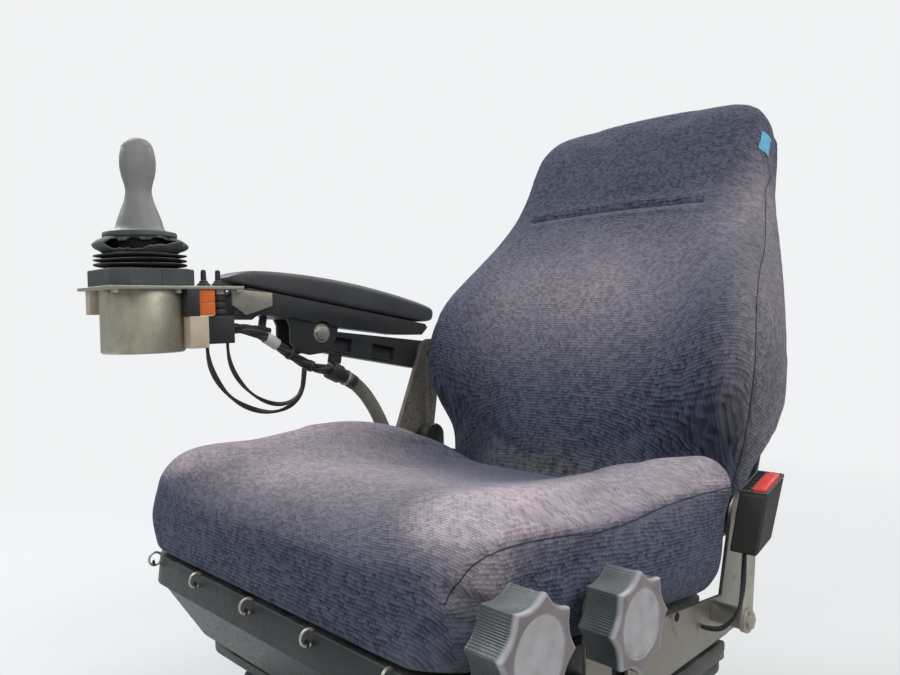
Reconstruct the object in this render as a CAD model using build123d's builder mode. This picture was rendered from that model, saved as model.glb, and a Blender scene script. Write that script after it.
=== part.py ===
from build123d import *
import os
from math import atan, cos, radians, sin, tan

# Operator's suspension seat with a right-hand armrest and joystick console, for a forklift cab.
# Millimetres. The origin is the centre of the four floor bolts, on the underside of the base.
# +Z is up, the seat faces -Y, and the operator's left is +X.

os.makedirs("parts", exist_ok=True)

# Clearances
SEAT_GAP = 0.3          # between a soft solid and what it rests on
RUN_GAP = 0.8           # between plates that turn or slide past each other
PIN_GAP = 0.05          # radial, a pin in its hole

# Suspension base
BASE_WIDTH = 300
BASE_DEPTH = 340
BASE_HEIGHT = 40
BASE_WALL = 3
BASE_CORNER = 28
BASE_LIP = 16
BOLT_X = 216
BOLT_Y = 270
BOLT_HOLE_R = 4.5

# Suspension bellows
BELLOWS_WIDTH = 330
BELLOWS_DEPTH = 366
BELLOWS_FOLDS = 4
FOLD_HEIGHT = 32.5
FOLD_ROUND = 14
BELLOWS_CORNER = 44

# Upper frame of the suspension, the fixed rails, and the runners in them, as long as the frame
FRAME_THICK = 12
FRAME_DEPTH = 350
FRAME_ROUND = 4
RAIL_X = 208
RAIL_WIDTH = 34
RAIL_HEIGHT = 18
RAIL_WALL = 3
RAIL_LENGTH = 330
RUNNER_FLANGE = 8
RUNNER_STEM = 10
RUNNER_LIFT = 8         # of the runner's top above its rail

# Seat pan, tilted back
PAN_FRONT_Y = -240
PAN_FRONT_Z = 300
PAN_TILT = 7
PAN_WIDTH = 448
PAN_DEPTH = 392
PAN_BAND = 28
PAN_CORNER = 46
PAN_WALL = 4
PAN_FOOT_WIDTH = 424
PAN_FOOT_DEPTH = 330
PAN_FOOT_Y = -36

# Seat cushion
CUSHION_HALF = 243
CUSHION_LIP = 12        # how far it stands out in front of the pan
CUSHION_TRIM = 32       # of its length beyond the upright cut of its rear face
CUSHION_REAR_Y = 148
CUSHION_REAR_EDGE = 12
CUSHION_CORNER = 48
CUSHION_EDGE = 24
CUSHION_FRONT_HIGH = 92
CUSHION_CREST_HIGH = 134
CUSHION_CREST_AT = 215
CUSHION_REAR_HIGH = 104
CUSHION_HOLLOW = 32     # depth of the sitting hollow between the side rolls
CUSHION_HOLLOW_HALF = 212

# Backrest, measured along its reclined front face and square to it
RECLINE = 27
CREASE_Y = 165
CREASE_Z = 340
ROLL_R = 42             # the bottom roll is round about the recline pivot
BACK_LONG = 550
BACK_TOP_THICK = 68
BACK_TOP_EDGE = 19
BACK_TOP_HALF = 190
BACK_WAIST_HALF = 200
BACK_WAIST_AT = 395
BACK_WIDE_HALF = 250
BACK_WIDE_AT = 142
BACK_FOOT_HALF = 212
BACK_FOOT_AT = 36
BACK_CORNER = 62
WING_HIGH = 50
WING_FROM = 62
WING_PEAK = 188
WING_TO = 338
LUMBAR_HIGH = 18
HEAD_HIGH = 8           # of the front above the wings, out of the line of the crease
WING_CREST_X = 216
SHELL_THICK = 14
SHELL_RIM = 30
SHELL_DRAFT = 30
SHELL_RECESS = 6
SHELL_INSET = 24
SHELL_FROM = 90
SHELL_CORNER = 46

# Recliner arms and the side plates that carry them
ARM_THICK = 5
FRAME_PLATE_HIGH = 84
CHEEK_EYE_R = 22
PIN_R = 7
PIN_HEAD = 5
PIN_HEAD_R = 11
CHEEK_HIGH = 34        # of the recliner's cheeks, where they meet the cross plate
SIDE_THICK = 4
SIDE_FRONT_Y = -24
SIDE_REAR_Y = 200
EAR_GAP = 6             # of the ear behind the seat cushion
EAR_R = 26

# Adjusting knobs on the left
KNOB_R = 37
KNOB_DEEP = 31
KNOB_LOBES = 8
KNOB_FLUTE_R = 18.6
KNOB_FLUTE_OUT = 12
KNOB_BEVEL = 1
KNOB_FACE_X = 288
KNOB_RING_R = 24
KNOB_RING = 1.5
KNOB_SHAFT_R = 8
KNOB_PLACES = {"front": (-218, 338), "rear": (-102, 321)}   # y, z of each axis
TAB_X = 248             # inner face of the tabs behind the knobs
TAB_THICK = 3
TAB_R = 17
TAB_DROP = 62
TAB_SKIRT = 12
TAB_FROM = 8            # from the pan's front edge
TAB_TO = 160

# Belt buckle on the left, on its steel strap
STRAP_X = 257
STRAP_THICK = 4
STRAP_WIDE = 24
STRAP_LEAN = 8
STRAP_LONG = 78
STRAP_BOLT_Y = 138
STRAP_BOLT_Z = 240
STRAP_BOLT_R = 5
STRAP_HEAD_R = 8.5
STRAP_SPACER_R = 10
BUCKLE_X = 247          # inner face
BUCKLE_THICK = 27
BUCKLE_LEAN = 23
BUCKLE_FOOT_Y = 147
BUCKLE_FOOT_Z = 312
BUCKLE_OUTLINE = [(-15, -12), (15, 11), (23, 78), (-15, 48)]      # across and along the buckle
BUCKLE_EDGE = 3
TONGUE_X = 250
TONGUE_SLOT = 6
TONGUE_WIDE = 22
TONGUE_DEEP = 40
BUTTON_X = 258.5
BUTTON_WIDE = 12
BUTTON_GAP = 0.5
BUTTON_DEEP = 14
BUTTON_RIM = 6          # of the buckle's slant, before and behind the button

# Belt retractor on the right
RETRACTOR_X = -252
RETRACTOR_WIDE = 22
RETRACTOR_Y = 218
RETRACTOR_LONG = 40
RETRACTOR_FROM_Z = 318
RETRACTOR_HIGH = 56
RETRACTOR_ROUND = 19
BRACKET_Y = 226
BRACKET_LONG = 20
BRACKET_HIGH = 30

# Armrest on the right: upright, beam, tray and pad
BEAM_SLOPE = 11
PIVOT_Y = 243
PIVOT_Z = 478
UPRIGHT_X = -284        # inner face of the upright
UPRIGHT_THICK = 8
UPRIGHT_R = 24
UPRIGHT_FOOT_Z = 248
UPRIGHT_FOOT_FROM = 120
UPRIGHT_FOOT_TO = 226
SKIRT_FROM = 130
SKIRT_TO = 198
SKIRT_HIGH = 36
BEAM_THICK = 26
BEAM_LONG = 209         # from the rear pivot to the front bolt
BEAM_REAR_R = 20
BEAM_FRONT_R = 16
BEAM_TOP = 6            # of its upper edge above the line of the pivots
BEAM_LOW = 25           # of its lower edge below that line
BEAM_BOLT_R = 8
BEAM_WEB = 6
BEAM_RIM = 6
BEAM_WINDOWS = [(68, 112), (150, 184)]      # from and to, along the beam
BEAM_SLOT_LONG = 6.5
BEAM_SLOT_HIGH = 2.2
BEAM_SLOT_PITCH = 8.6
BEAM_SLOT_DEEP = 1.5
CHEEK_THICK = 5
CHEEK_OUTLINE = [(268, 14), (259, 2), (255, -20), (240, -31), (222, -32), (204, -27), (188, -14),
                 (182, 0), (182, 14)]               # along and above the line of the pivots
TRAY_WIDE = 44
TRAY_OUTLINE = [(14, 40), (24, 27), (60, 21), (190, 13), (262, 13), (270, 9), (294, 11), (311, 8),
                (319, 0), (344, -3), (350, 24), (330, 39.5), (20, 44.8)]
PAD_X = -312
PAD_HALF = 33
PAD_EDGE = 7
PAD_UNDERSIDE = [(345, 40), (12, 46), (-2, 54), (0, 62)]
PAD_CROWN = [(180, 80), (331, 64)]
PAD_NOSE = (357, 47)
BOLT_HEAD = 6
BOLT_HEAD_R = 10
TEE_AT = 291
TEE_LOW = -8
TEE_TOP = 10.4
TEE_LONG = 26
TEE_WIDE = 10
TEE_THICK = 8

# Console in front of the armrest
CONSOLE_X = -322
CONSOLE_Y = -193
PLATE_Z = 577
PLATE_THICK = 4
PLATE_WIDE = 106
PLATE_FROM_Y = -248
PLATE_TO_Y = -88
BRACKET_THICK = 4
BRACKET_OUTLINE = [(-98, 577), (-88, 577), (-42, 573), (-42, 556), (-80, 545), (-98, 558)]    # y, z
BRACKET_FLANGE = 10
CAN_R = 47
CAN_HIGH = 74
CAN_BEVEL = 2
COLLAR_WIDE = 106
COLLAR_HIGH = 20
COLLAR_CORNER = 16
BOOT_R = 52
BOOT_NECK_R = 40
BOOT_FOLDS = 3
BOOT_PITCH = 5.5
BOOT_CUFF = 14
BOOT_CUFF_LIP = 9
BOOT_LIP = 2.75         # height of a fold's edge
BOOT_RING_R = 41
BOOT_RING = 7
STICK_R = 20
STICK_WAIST_R = 13
STICK_NECK = 72         # from the boot's ring to the middle of the grip
STICK_GRIP_HALF = 36
STICK_FOOT_R = 27
STICK_FOOT_HIGH = 36
STICK_FOOT_ANGLE = 60
TOGGLE_X = -300
TOGGLE_PLACES = (-126, -107)
TOGGLE_BASE_R = 9
TOGGLE_BASE = 7
TOGGLE_R = 4
TOGGLE_HIGH = 22

# Boxes hung under the plate: x from, x to, y from, y to, z from, z to
HUNG_BOXES = {
    "switch_body": (-285, -269, -162, -147, 545, 577),
    "signal_block_upper": (-296, -272, -146, -126, 561.5, 577),
    "signal_block_lower": (-296, -272, -146, -126, 545.5, 561.2),
    "relay_box": (-286, -268, -160, -137, 507, 545),
    "small_relay": (-366, -353, -242, -230, 549, 577),
    "connector_block": (-304, -276, -136.5, -99, 511, 545),
}
STACK_X = -286
STACK_Y = -114
STACK_R = 9
STACK_RIBS = 3
STACK_NECK_R = 7
STACK_LOW_Z = 545

# Harness and conduit, as points of their routes
BUNDLE_R = 7
BUNDLE_ROUTE = [(-290, -99, 529), (-290, -82, 529), (-290, -62, 523), (-291, -40, 512), (-292, -15, 495),
                (-294, 8, 481), (-296, 26, 472.5), (-297.5, 39, 467)]
LOOP_R = 3.5
LOOP_ROUTE = [(-292, -128, 511), (-292, -128, 492), (-292, -118, 466), (-294, -98, 441), (-296, -68, 423),
              (-297, -35, 415), (-297, -6, 421), (-296, 12.5, 442.5), (-295, 15.5, 467.5)]
SPUR_R = 3
SPUR_ROUTE = [(-286, -104, 511), (-286, -104, 492), (-285, -94, 467), (-284, -74, 444), (-284, -47, 429),
              (-286, -20, 426), (-288, 1, 437), (-290, 8, 455), (-290.5, 10.5, 471.5)]
CONDUIT_R = 10
CONDUIT_ROUTE = [(-299, 75, 458), (-299.95, 91.15, 450.4), (-299, 107, 439.5), (-295, 121, 423),
                 (-287, 132, 399), (-277, 140, 369), (-268, 145, 334), (-260, 149, 296), (-260, 149, 258)]
FERRULE_R = 13
FERRULE_FROM = (-298, 58, 466)
HANGER_AT = 173
HANGER_LONG = 18
HANGER_HIGH = 12
HANGER_WIDE = 8
GLAND_R = 14
WIRE_R = 2.5
WIRE_ROUTE = [(261, 132.8, 306), (261, 130.4, 289), (261, 127.4, 271), (260, 121.5, 254), (253, 115, 241),
              (242, 111, 233), (228, 111, 233)]


def band_plane(height=0.0):
    """The pan's tilted plane: x across, y towards the rear, from the middle of its front edge."""
    tilt = radians(PAN_TILT)
    origin = (0, PAN_FRONT_Y + height * sin(tilt), PAN_FRONT_Z + height * cos(tilt))
    return Plane(origin=origin, x_dir=(1, 0, 0), z_dir=(0, sin(tilt), cos(tilt)))


def band_side_plane(x):
    """A plane square to X: its x runs along the pan towards the rear, its y up from it."""
    tilt = radians(PAN_TILT)
    return Plane(origin=(x, PAN_FRONT_Y, PAN_FRONT_Z), x_dir=(0, cos(tilt), -sin(tilt)), z_dir=(1, 0, 0))


def band_end_plane():
    """A plane square to the pan's length at its front edge: x across, y up."""
    tilt = radians(PAN_TILT)
    return Plane(origin=(0, PAN_FRONT_Y, PAN_FRONT_Z), x_dir=(1, 0, 0), z_dir=(0, -cos(tilt), sin(tilt)))


def back_point(along, out):
    """Y and Z of a point at a length along the backrest from the crease, and out of its front."""
    lean = radians(RECLINE)
    return (CREASE_Y + along * sin(lean) - out * cos(lean),
            CREASE_Z + along * cos(lean) + out * sin(lean))


def back_plane(out=0.0):
    """The backrest's front face: x across, y along the backrest, z out of the front."""
    lean = radians(RECLINE)
    y, z = back_point(0, out)
    return Plane(origin=(0, y, z), x_dir=(1, 0, 0), z_dir=(0, -cos(lean), sin(lean)))


def back_side_plane(x):
    """A plane square to X: its x runs out of the backrest's front, its y along the backrest."""
    lean = radians(RECLINE)
    return Plane(origin=(x, CREASE_Y, CREASE_Z), x_dir=(0, -cos(lean), sin(lean)), z_dir=(-1, 0, 0))


def back_end_plane():
    """A plane square to the backrest's length at the crease: x across, y out of the front."""
    lean = radians(RECLINE)
    return Plane(origin=(0, CREASE_Y, CREASE_Z), x_dir=(-1, 0, 0), z_dir=(0, sin(lean), cos(lean)))


def back_rear_plane(out=0.0):
    """The backrest's rear face above the roll: its y runs up the face, its z to the rear."""
    taper = atan((2 * ROLL_R - BACK_TOP_THICK) / BACK_LONG)
    lean = radians(RECLINE) - taper
    y, z = back_point(0, -2 * ROLL_R)
    origin = (0, y + out * cos(lean), z - out * sin(lean))
    return Plane(origin=origin, x_dir=(-1, 0, 0), z_dir=(0, cos(lean), -sin(lean)))


def back_outline(inset, foot, corner):
    """The right half of the backrest's outline, drawn in by inset, from a foot height to its top."""
    FilletPolyline((0, foot), (BACK_FOOT_HALF - inset, foot), (BACK_FOOT_HALF - inset, foot + corner),
                   (BACK_WIDE_HALF - inset, max(BACK_WIDE_AT, foot + 2 * corner)),
                   (BACK_WAIST_HALF - inset, BACK_WAIST_AT),
                   (BACK_TOP_HALF - inset, BACK_LONG - inset), (0, BACK_LONG - inset),
                   radius=[corner / 3, corner / 2, BACK_CORNER, 2 * BACK_CORNER, BACK_CORNER])


def beam_plane(x):
    """A plane square to X through the armrest's rear pivot: x forwards along the beam, y up."""
    slope = radians(BEAM_SLOPE)
    return Plane(origin=(x, PIVOT_Y, PIVOT_Z), x_dir=(0, -cos(slope), sin(slope)), z_dir=(-1, 0, 0))


def strap_plane(x):
    """A plane square to X through the strap's bolt: x towards the rear, y up along the strap."""
    lean = radians(STRAP_LEAN)
    return Plane(origin=(x, STRAP_BOLT_Y, STRAP_BOLT_Z), x_dir=(0, cos(lean), -sin(lean)), z_dir=(1, 0, 0))


def buckle_plane(x):
    """A plane square to X at the buckle's foot: x towards the rear, y up along the buckle."""
    lean = radians(BUCKLE_LEAN)
    return Plane(origin=(x, BUCKLE_FOOT_Y, BUCKLE_FOOT_Z), x_dir=(0, cos(lean), -sin(lean)), z_dir=(1, 0, 0))


def save(piece, label):
    piece.part.label = label
    export_step(piece.part, f"parts/{label}.step")


def cord(name, route, radius, share=0.45):
    """A tube along straight runs joined by tangent arcs as large as the runs allow."""
    points = [Vector(*point) for point in route]
    radii = []
    for before, here, after in zip(points, points[1:], points[2:]):
        turn = radians((here - before).get_angle(after - here))
        shorter = min((here - before).length, (after - here).length)
        radii.append(share * shorter / tan(turn / 2))
    print(name, "bend radii:", [round(value) for value in radii])
    with BuildPart() as tube:
        with BuildLine() as path:
            FilletPolyline(*points, radius=radii)
        with BuildSketch(Plane(origin=path.line @ 0, z_dir=path.line % 0)):
            Circle(radius)
        sweep()
    save(tube, name)


PIVOT_BACK_Y, PIVOT_BACK_Z = back_point(0, -ROLL_R)
BELLOWS_TOP = BASE_HEIGHT + BELLOWS_FOLDS * FOLD_HEIGHT
FRAME_TOP = BELLOWS_TOP + FRAME_THICK
RAIL_TOP = FRAME_TOP + RAIL_HEIGHT
RUNNER_FOOT = FRAME_TOP + RAIL_WALL + RUN_GAP
RUNNER_TOP = RAIL_TOP + RUNNER_LIFT
HALF_PAN = PAN_WIDTH / 2
SIDES = {"left": 1, "right": -1}
BAND_FALL = tan(radians(PAN_TILT))
SIDE_OUTLINE = [
    (SIDE_FRONT_Y, RUNNER_TOP + RUN_GAP),
    (SIDE_REAR_Y, RUNNER_TOP + RUN_GAP),
    (PIVOT_BACK_Y + EAR_R, PIVOT_BACK_Z),
    (PIVOT_BACK_Y - EAR_R, PIVOT_BACK_Z),
    (CUSHION_REAR_Y + EAR_GAP, PAN_FRONT_Z - (CUSHION_REAR_Y - PAN_FRONT_Y) * BAND_FALL - RUN_GAP),
    (SIDE_FRONT_Y, PAN_FRONT_Z - (SIDE_FRONT_Y - PAN_FRONT_Y) * BAND_FALL - RUN_GAP),
]

# Base tray of the suspension, with the four floor bolt holes
with BuildPart() as base_tray:
    with BuildSketch(Plane.XY):
        RectangleRounded(BASE_WIDTH, BASE_DEPTH, BASE_CORNER)
    extrude(amount=BASE_HEIGHT)
    with BuildSketch(Plane.XY.offset(BASE_WALL)):
        RectangleRounded(BASE_WIDTH - 2 * BASE_WALL, BASE_DEPTH - 2 * BASE_WALL, BASE_CORNER - BASE_WALL)
    extrude(amount=BASE_HEIGHT, mode=Mode.SUBTRACT)
    with BuildSketch(Plane.XY.offset(BASE_HEIGHT - BASE_WALL)):
        RectangleRounded(BASE_WIDTH, BASE_DEPTH, BASE_CORNER)
        RectangleRounded(BASE_WIDTH - 2 * BASE_LIP, BASE_DEPTH - 2 * BASE_LIP, BASE_CORNER / 2,
                         mode=Mode.SUBTRACT)
    extrude(amount=BASE_WALL)
    with BuildSketch(Plane.XY):
        with GridLocations(BOLT_X, BOLT_Y, 2, 2):
            Circle(BOLT_HOLE_R)
    extrude(amount=BASE_WALL, mode=Mode.SUBTRACT)
save(base_tray, "base_tray")

# Rubber bellows round the suspension: one fold, repeated upwards
with BuildPart() as bellows_fold:
    with BuildSketch(Plane.XY.offset(BASE_HEIGHT)):
        RectangleRounded(BELLOWS_WIDTH, BELLOWS_DEPTH, BELLOWS_CORNER)
    extrude(amount=FOLD_HEIGHT)
    fillet(bellows_fold.faces().filter_by(Axis.Z).edges(), FOLD_ROUND)
with BuildPart() as suspension_bellows:
    for fold in range(BELLOWS_FOLDS):
        with Locations((0, 0, fold * FOLD_HEIGHT)):
            add(bellows_fold.part)
save(suspension_bellows, "suspension_bellows")

# Upper frame of the suspension, which carries the rails
with BuildPart() as upper_frame:
    with BuildSketch(Plane.XY.offset(BELLOWS_TOP)):
        RectangleRounded(2 * RAIL_X + RAIL_WIDTH, FRAME_DEPTH, BASE_CORNER)
    extrude(amount=FRAME_THICK)
    fillet(upper_frame.faces().sort_by(Axis.Z)[0].edges(), FRAME_ROUND)
save(upper_frame, "upper_frame")

# Rails: a channel fixed to the upper frame and a runner that slides in it, on each side
for side_name, side in SIDES.items():
    with BuildPart() as rail:
        with BuildSketch(Plane.XZ.offset(-RAIL_LENGTH / 2)):
            with Locations((side * RAIL_X, FRAME_TOP + RAIL_HEIGHT / 2)):
                Rectangle(RAIL_WIDTH, RAIL_HEIGHT)
                Rectangle(RAIL_WIDTH - 2 * RAIL_WALL, RAIL_HEIGHT - 2 * RAIL_WALL, mode=Mode.SUBTRACT)
            with Locations((side * RAIL_X, RAIL_TOP - RAIL_WALL / 2)):
                Rectangle(RUNNER_STEM + 2 * RUN_GAP, RAIL_WALL, mode=Mode.SUBTRACT)
        extrude(amount=RAIL_LENGTH)
    save(rail, f"rail_{side_name}")

    with BuildPart() as runner:
        with BuildSketch(Plane.XZ.offset(-FRAME_DEPTH / 2)):
            with Locations((side * RAIL_X, RUNNER_FOOT + RUNNER_FLANGE / 2)):
                Rectangle(RAIL_WIDTH - 2 * RAIL_WALL - 2 * RUN_GAP, RUNNER_FLANGE)
            with Locations((side * RAIL_X, (RUNNER_FOOT + RUNNER_TOP) / 2)):
                Rectangle(RUNNER_STEM, RUNNER_TOP - RUNNER_FOOT)
            with Locations((side * RAIL_X, RUNNER_TOP - RAIL_WALL / 2)):
                Rectangle(RAIL_WIDTH, RAIL_WALL)
        extrude(amount=FRAME_DEPTH)
    save(runner, f"runner_{side_name}")

# Seat pan: the band that the cover is pinned to, over a tapered shell that stands on the runners
with BuildPart() as seat_pan:
    with BuildSketch(band_plane()):
        with Locations((0, PAN_DEPTH / 2)):
            RectangleRounded(PAN_WIDTH, PAN_DEPTH, PAN_CORNER)
    extrude(amount=-PAN_BAND)
    with BuildSketch(band_plane(-PAN_BAND)):
        with Locations((0, PAN_DEPTH / 2)):
            RectangleRounded(PAN_WIDTH - 2 * PAN_WALL, PAN_DEPTH - 2 * PAN_WALL, PAN_CORNER - PAN_WALL)
    with BuildSketch(Plane.XY.offset(RUNNER_TOP)):
        with Locations((0, PAN_FOOT_Y)):
            RectangleRounded(PAN_FOOT_WIDTH, PAN_FOOT_DEPTH, PAN_CORNER - PAN_WALL)
    loft()
save(seat_pan, "seat_pan")

# Seat cushion: a side profile over the pan's outline, hollowed along its length
CUSHION_LONG = CUSHION_REAR_Y - PAN_FRONT_Y + CUSHION_TRIM
with BuildPart() as seat_cushion:
    with BuildSketch(band_plane(SEAT_GAP)):
        with Locations((0, (CUSHION_LONG - CUSHION_LIP) / 2)):
            RectangleRounded(2 * CUSHION_HALF, CUSHION_LONG + CUSHION_LIP, CUSHION_CORNER)
    extrude(amount=CUSHION_CREST_HIGH)
    with BuildSketch(band_side_plane(-CUSHION_HALF)):
        with BuildLine():
            edge_foot = (-CUSHION_LIP, CUSHION_FRONT_HIGH - CUSHION_EDGE)
            edge_top = (CUSHION_EDGE - CUSHION_LIP, CUSHION_FRONT_HIGH)
            rear_top = (CUSHION_LONG, CUSHION_REAR_HIGH)
            Polyline(rear_top, (CUSHION_LONG, 0), (-CUSHION_LIP, 0), edge_foot)
            RadiusArc(edge_foot, edge_top, CUSHION_EDGE)
            ThreePointArc(edge_top, (CUSHION_CREST_AT, CUSHION_CREST_HIGH), rear_top)
        make_face()
    extrude(amount=2 * CUSHION_HALF, mode=Mode.INTERSECT)
    with BuildSketch(Plane.XY):
        with Locations((0, CUSHION_REAR_Y + CUSHION_LONG / 2)):
            Rectangle(3 * CUSHION_HALF, CUSHION_LONG)
    extrude(amount=2 * PAN_FRONT_Z, mode=Mode.SUBTRACT)
    rear_face = seat_cushion.faces().sort_by(Axis.Y)[-1]
    fillet(rear_face.edges().sort_by(Axis.Z)[-1], CUSHION_REAR_EDGE)
    hollow_r = (CUSHION_HOLLOW_HALF ** 2 + CUSHION_HOLLOW ** 2) / (2 * CUSHION_HOLLOW)
    with BuildSketch(band_end_plane()):
        with Locations((0, CUSHION_CREST_HIGH - CUSHION_HOLLOW + hollow_r)):
            Circle(hollow_r)
    extrude(amount=-2 * CUSHION_LONG, both=True, mode=Mode.SUBTRACT)
save(seat_cushion, "seat_cushion")

# Backrest cushion: its outline, cut to a side profile, with a shallow hollow between the wings
with BuildPart() as backrest_cushion:
    with BuildSketch(back_plane(-2 * ROLL_R)):
        with BuildLine():
            back_outline(0, -ROLL_R, ROLL_R + BACK_FOOT_AT)
            mirror(about=Plane.YZ)
        make_face()
    extrude(amount=2 * ROLL_R + WING_HIGH + LUMBAR_HIGH)
    with BuildSketch(back_side_plane(BACK_WIDE_HALF)):
        with BuildLine():
            ThreePointArc((-2 * ROLL_R, 0), (-ROLL_R, -ROLL_R), (0, 0))
            FilletPolyline((0, 0), (0, WING_FROM), (WING_HIGH, WING_PEAK),
                           (HEAD_HIGH, WING_TO), (HEAD_HIGH, BACK_LONG), (-BACK_TOP_THICK, BACK_LONG),
                           (-2 * ROLL_R, 0),
                           radius=[BACK_CORNER, BACK_CORNER, BACK_CORNER, BACK_TOP_EDGE, BACK_TOP_EDGE])
        make_face()
    extrude(amount=2 * BACK_WIDE_HALF, mode=Mode.INTERSECT)
    rise = WING_HIGH - LUMBAR_HIGH
    dish_r = (WING_CREST_X ** 2 + rise ** 2) / (2 * rise)
    with BuildSketch(back_end_plane()):
        with Locations((0, LUMBAR_HIGH + dish_r)):
            Circle(dish_r)
    extrude(amount=2 * BACK_LONG, both=True, mode=Mode.SUBTRACT)
save(backrest_cushion, "backrest_cushion")

# Backrest shell: a moulded cover over the rear of the backrest, with a recessed panel
with BuildPart() as backrest_shell:
    with BuildSketch(back_rear_plane(SEAT_GAP)):
        with BuildLine():
            back_outline(SHELL_INSET, SHELL_FROM, SHELL_CORNER)
            mirror(about=Plane.YZ)
        make_face()
    extrude(amount=SHELL_THICK, taper=SHELL_DRAFT)
    with BuildSketch(back_rear_plane(SEAT_GAP + SHELL_THICK)):
        with BuildLine():
            back_outline(SHELL_INSET + SHELL_RIM, SHELL_FROM + SHELL_RIM, SHELL_CORNER)
            mirror(about=Plane.YZ)
        make_face()
    extrude(amount=-SHELL_RECESS, mode=Mode.SUBTRACT)
save(backrest_shell, "backrest_shell")

# Recliner frame: a cross plate behind the backrest's foot, with a cheek to the pivot on each side
with BuildPart() as recliner_frame:
    with BuildSketch(back_rear_plane(SEAT_GAP)):
        with Locations((0, FRAME_PLATE_HIGH / 2)):
            Rectangle(2 * (BACK_FOOT_HALF + SEAT_GAP + ARM_THICK), FRAME_PLATE_HIGH)
    extrude(amount=ARM_THICK)
    for side in SIDES.values():
        inner_x = side * (BACK_FOOT_HALF + SEAT_GAP)
        with BuildSketch(Plane.YZ.offset(inner_x)) as cheek:
            with Locations((PIVOT_BACK_Y, PIVOT_BACK_Z)):
                Circle(CHEEK_EYE_R)
            with BuildLine():
                rear_low = back_rear_plane(SEAT_GAP + ARM_THICK).from_local_coords((0, 0, 0))
                rear_high = back_rear_plane(SEAT_GAP + ARM_THICK).from_local_coords((0, CHEEK_HIGH, 0))
                pivot_low = (PIVOT_BACK_Y, PIVOT_BACK_Z - CHEEK_EYE_R)
                pivot_high = (PIVOT_BACK_Y, PIVOT_BACK_Z + CHEEK_EYE_R)
                Polyline(pivot_low, (rear_low.Y, rear_low.Z), (rear_high.Y, rear_high.Z), pivot_high, close=True)
            make_face()
            with Locations((PIVOT_BACK_Y, PIVOT_BACK_Z)):
                Circle(PIN_R + PIN_GAP, mode=Mode.SUBTRACT)
        extrude(amount=side * ARM_THICK)
save(recliner_frame, "recliner_frame")

# Side plates: fixed to the pan's band, with an ear and a pin for the recliner on each side
for side_name, side in SIDES.items():
    with BuildPart() as side_plate:
        with BuildSketch(Plane.YZ.offset(side * HALF_PAN)):
            with BuildLine():
                Polyline(SIDE_OUTLINE[-1], *SIDE_OUTLINE)
            make_face()
            with Locations((PIVOT_BACK_Y, PIVOT_BACK_Z)):
                Circle(EAR_R)
        extrude(amount=side * SIDE_THICK)
        with BuildSketch(Plane.YZ.offset(side * (BACK_FOOT_HALF + 2 * SEAT_GAP))):
            with Locations((PIVOT_BACK_Y, PIVOT_BACK_Z)):
                Circle(PIN_R)
        extrude(amount=side * (HALF_PAN - BACK_FOOT_HALF))
        with BuildSketch(Plane.YZ.offset(side * (HALF_PAN + SIDE_THICK))):
            with Locations((PIVOT_BACK_Y, PIVOT_BACK_Z)):
                RegularPolygon(PIN_HEAD_R, 6)
        extrude(amount=side * PIN_HEAD)
    save(side_plate, f"side_plate_{side_name}")

# Knob tabs: a folded strip on the pan's band, with an eye behind each knob
with BuildPart() as knob_bracket:
    with BuildSketch(band_side_plane(HALF_PAN)):
        with Locations(((TAB_FROM + TAB_TO) / 2, TAB_THICK / 2 - PAN_BAND)):
            Rectangle(TAB_TO - TAB_FROM, TAB_THICK)
    extrude(amount=TAB_X - HALF_PAN)
    for knob_y, knob_z in KNOB_PLACES.values():
        with BuildSketch(Plane.YZ.offset(TAB_X)):
            with Locations((knob_y, knob_z)):
                Circle(TAB_R)
            with Locations((knob_y, knob_z - TAB_DROP / 2)):
                Rectangle(2 * TAB_R, TAB_DROP)
        extrude(amount=TAB_THICK)
    with BuildSketch(band_side_plane(TAB_X)):
        with Locations(((TAB_FROM + TAB_TO) / 2, TAB_SKIRT / 2 - PAN_BAND)):
            Rectangle(TAB_TO - TAB_FROM, TAB_SKIRT)
    extrude(amount=TAB_THICK)
save(knob_bracket, "knob_bracket")

# Knobs: a lobed grip with a ringed face, on a shaft through its tab
for knob_name, (knob_y, knob_z) in KNOB_PLACES.items():
    with BuildPart() as knob:
        with BuildSketch(Plane.YZ.offset(KNOB_FACE_X - KNOB_DEEP)):
            with Locations((knob_y, knob_z)):
                Circle(KNOB_R)
                with PolarLocations(KNOB_R + KNOB_FLUTE_OUT, KNOB_LOBES):
                    Circle(KNOB_FLUTE_R, mode=Mode.SUBTRACT)
        extrude(amount=KNOB_DEEP)
        chamfer(knob.faces().sort_by(Axis.X)[-1].edges(), KNOB_BEVEL)
        with BuildSketch(Plane.YZ.offset(KNOB_FACE_X)):
            with Locations((knob_y, knob_z)):
                Circle(KNOB_RING_R)
                Circle(KNOB_RING_R - KNOB_RING, mode=Mode.SUBTRACT)
        extrude(amount=-KNOB_RING, mode=Mode.SUBTRACT)
        with BuildSketch(Plane.YZ.offset(TAB_X + TAB_THICK)):
            with Locations((knob_y, knob_z)):
                Circle(KNOB_SHAFT_R)
        extrude(amount=KNOB_FACE_X - KNOB_DEEP - TAB_X - TAB_THICK)
    save(knob, f"knob_{knob_name}")

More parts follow.
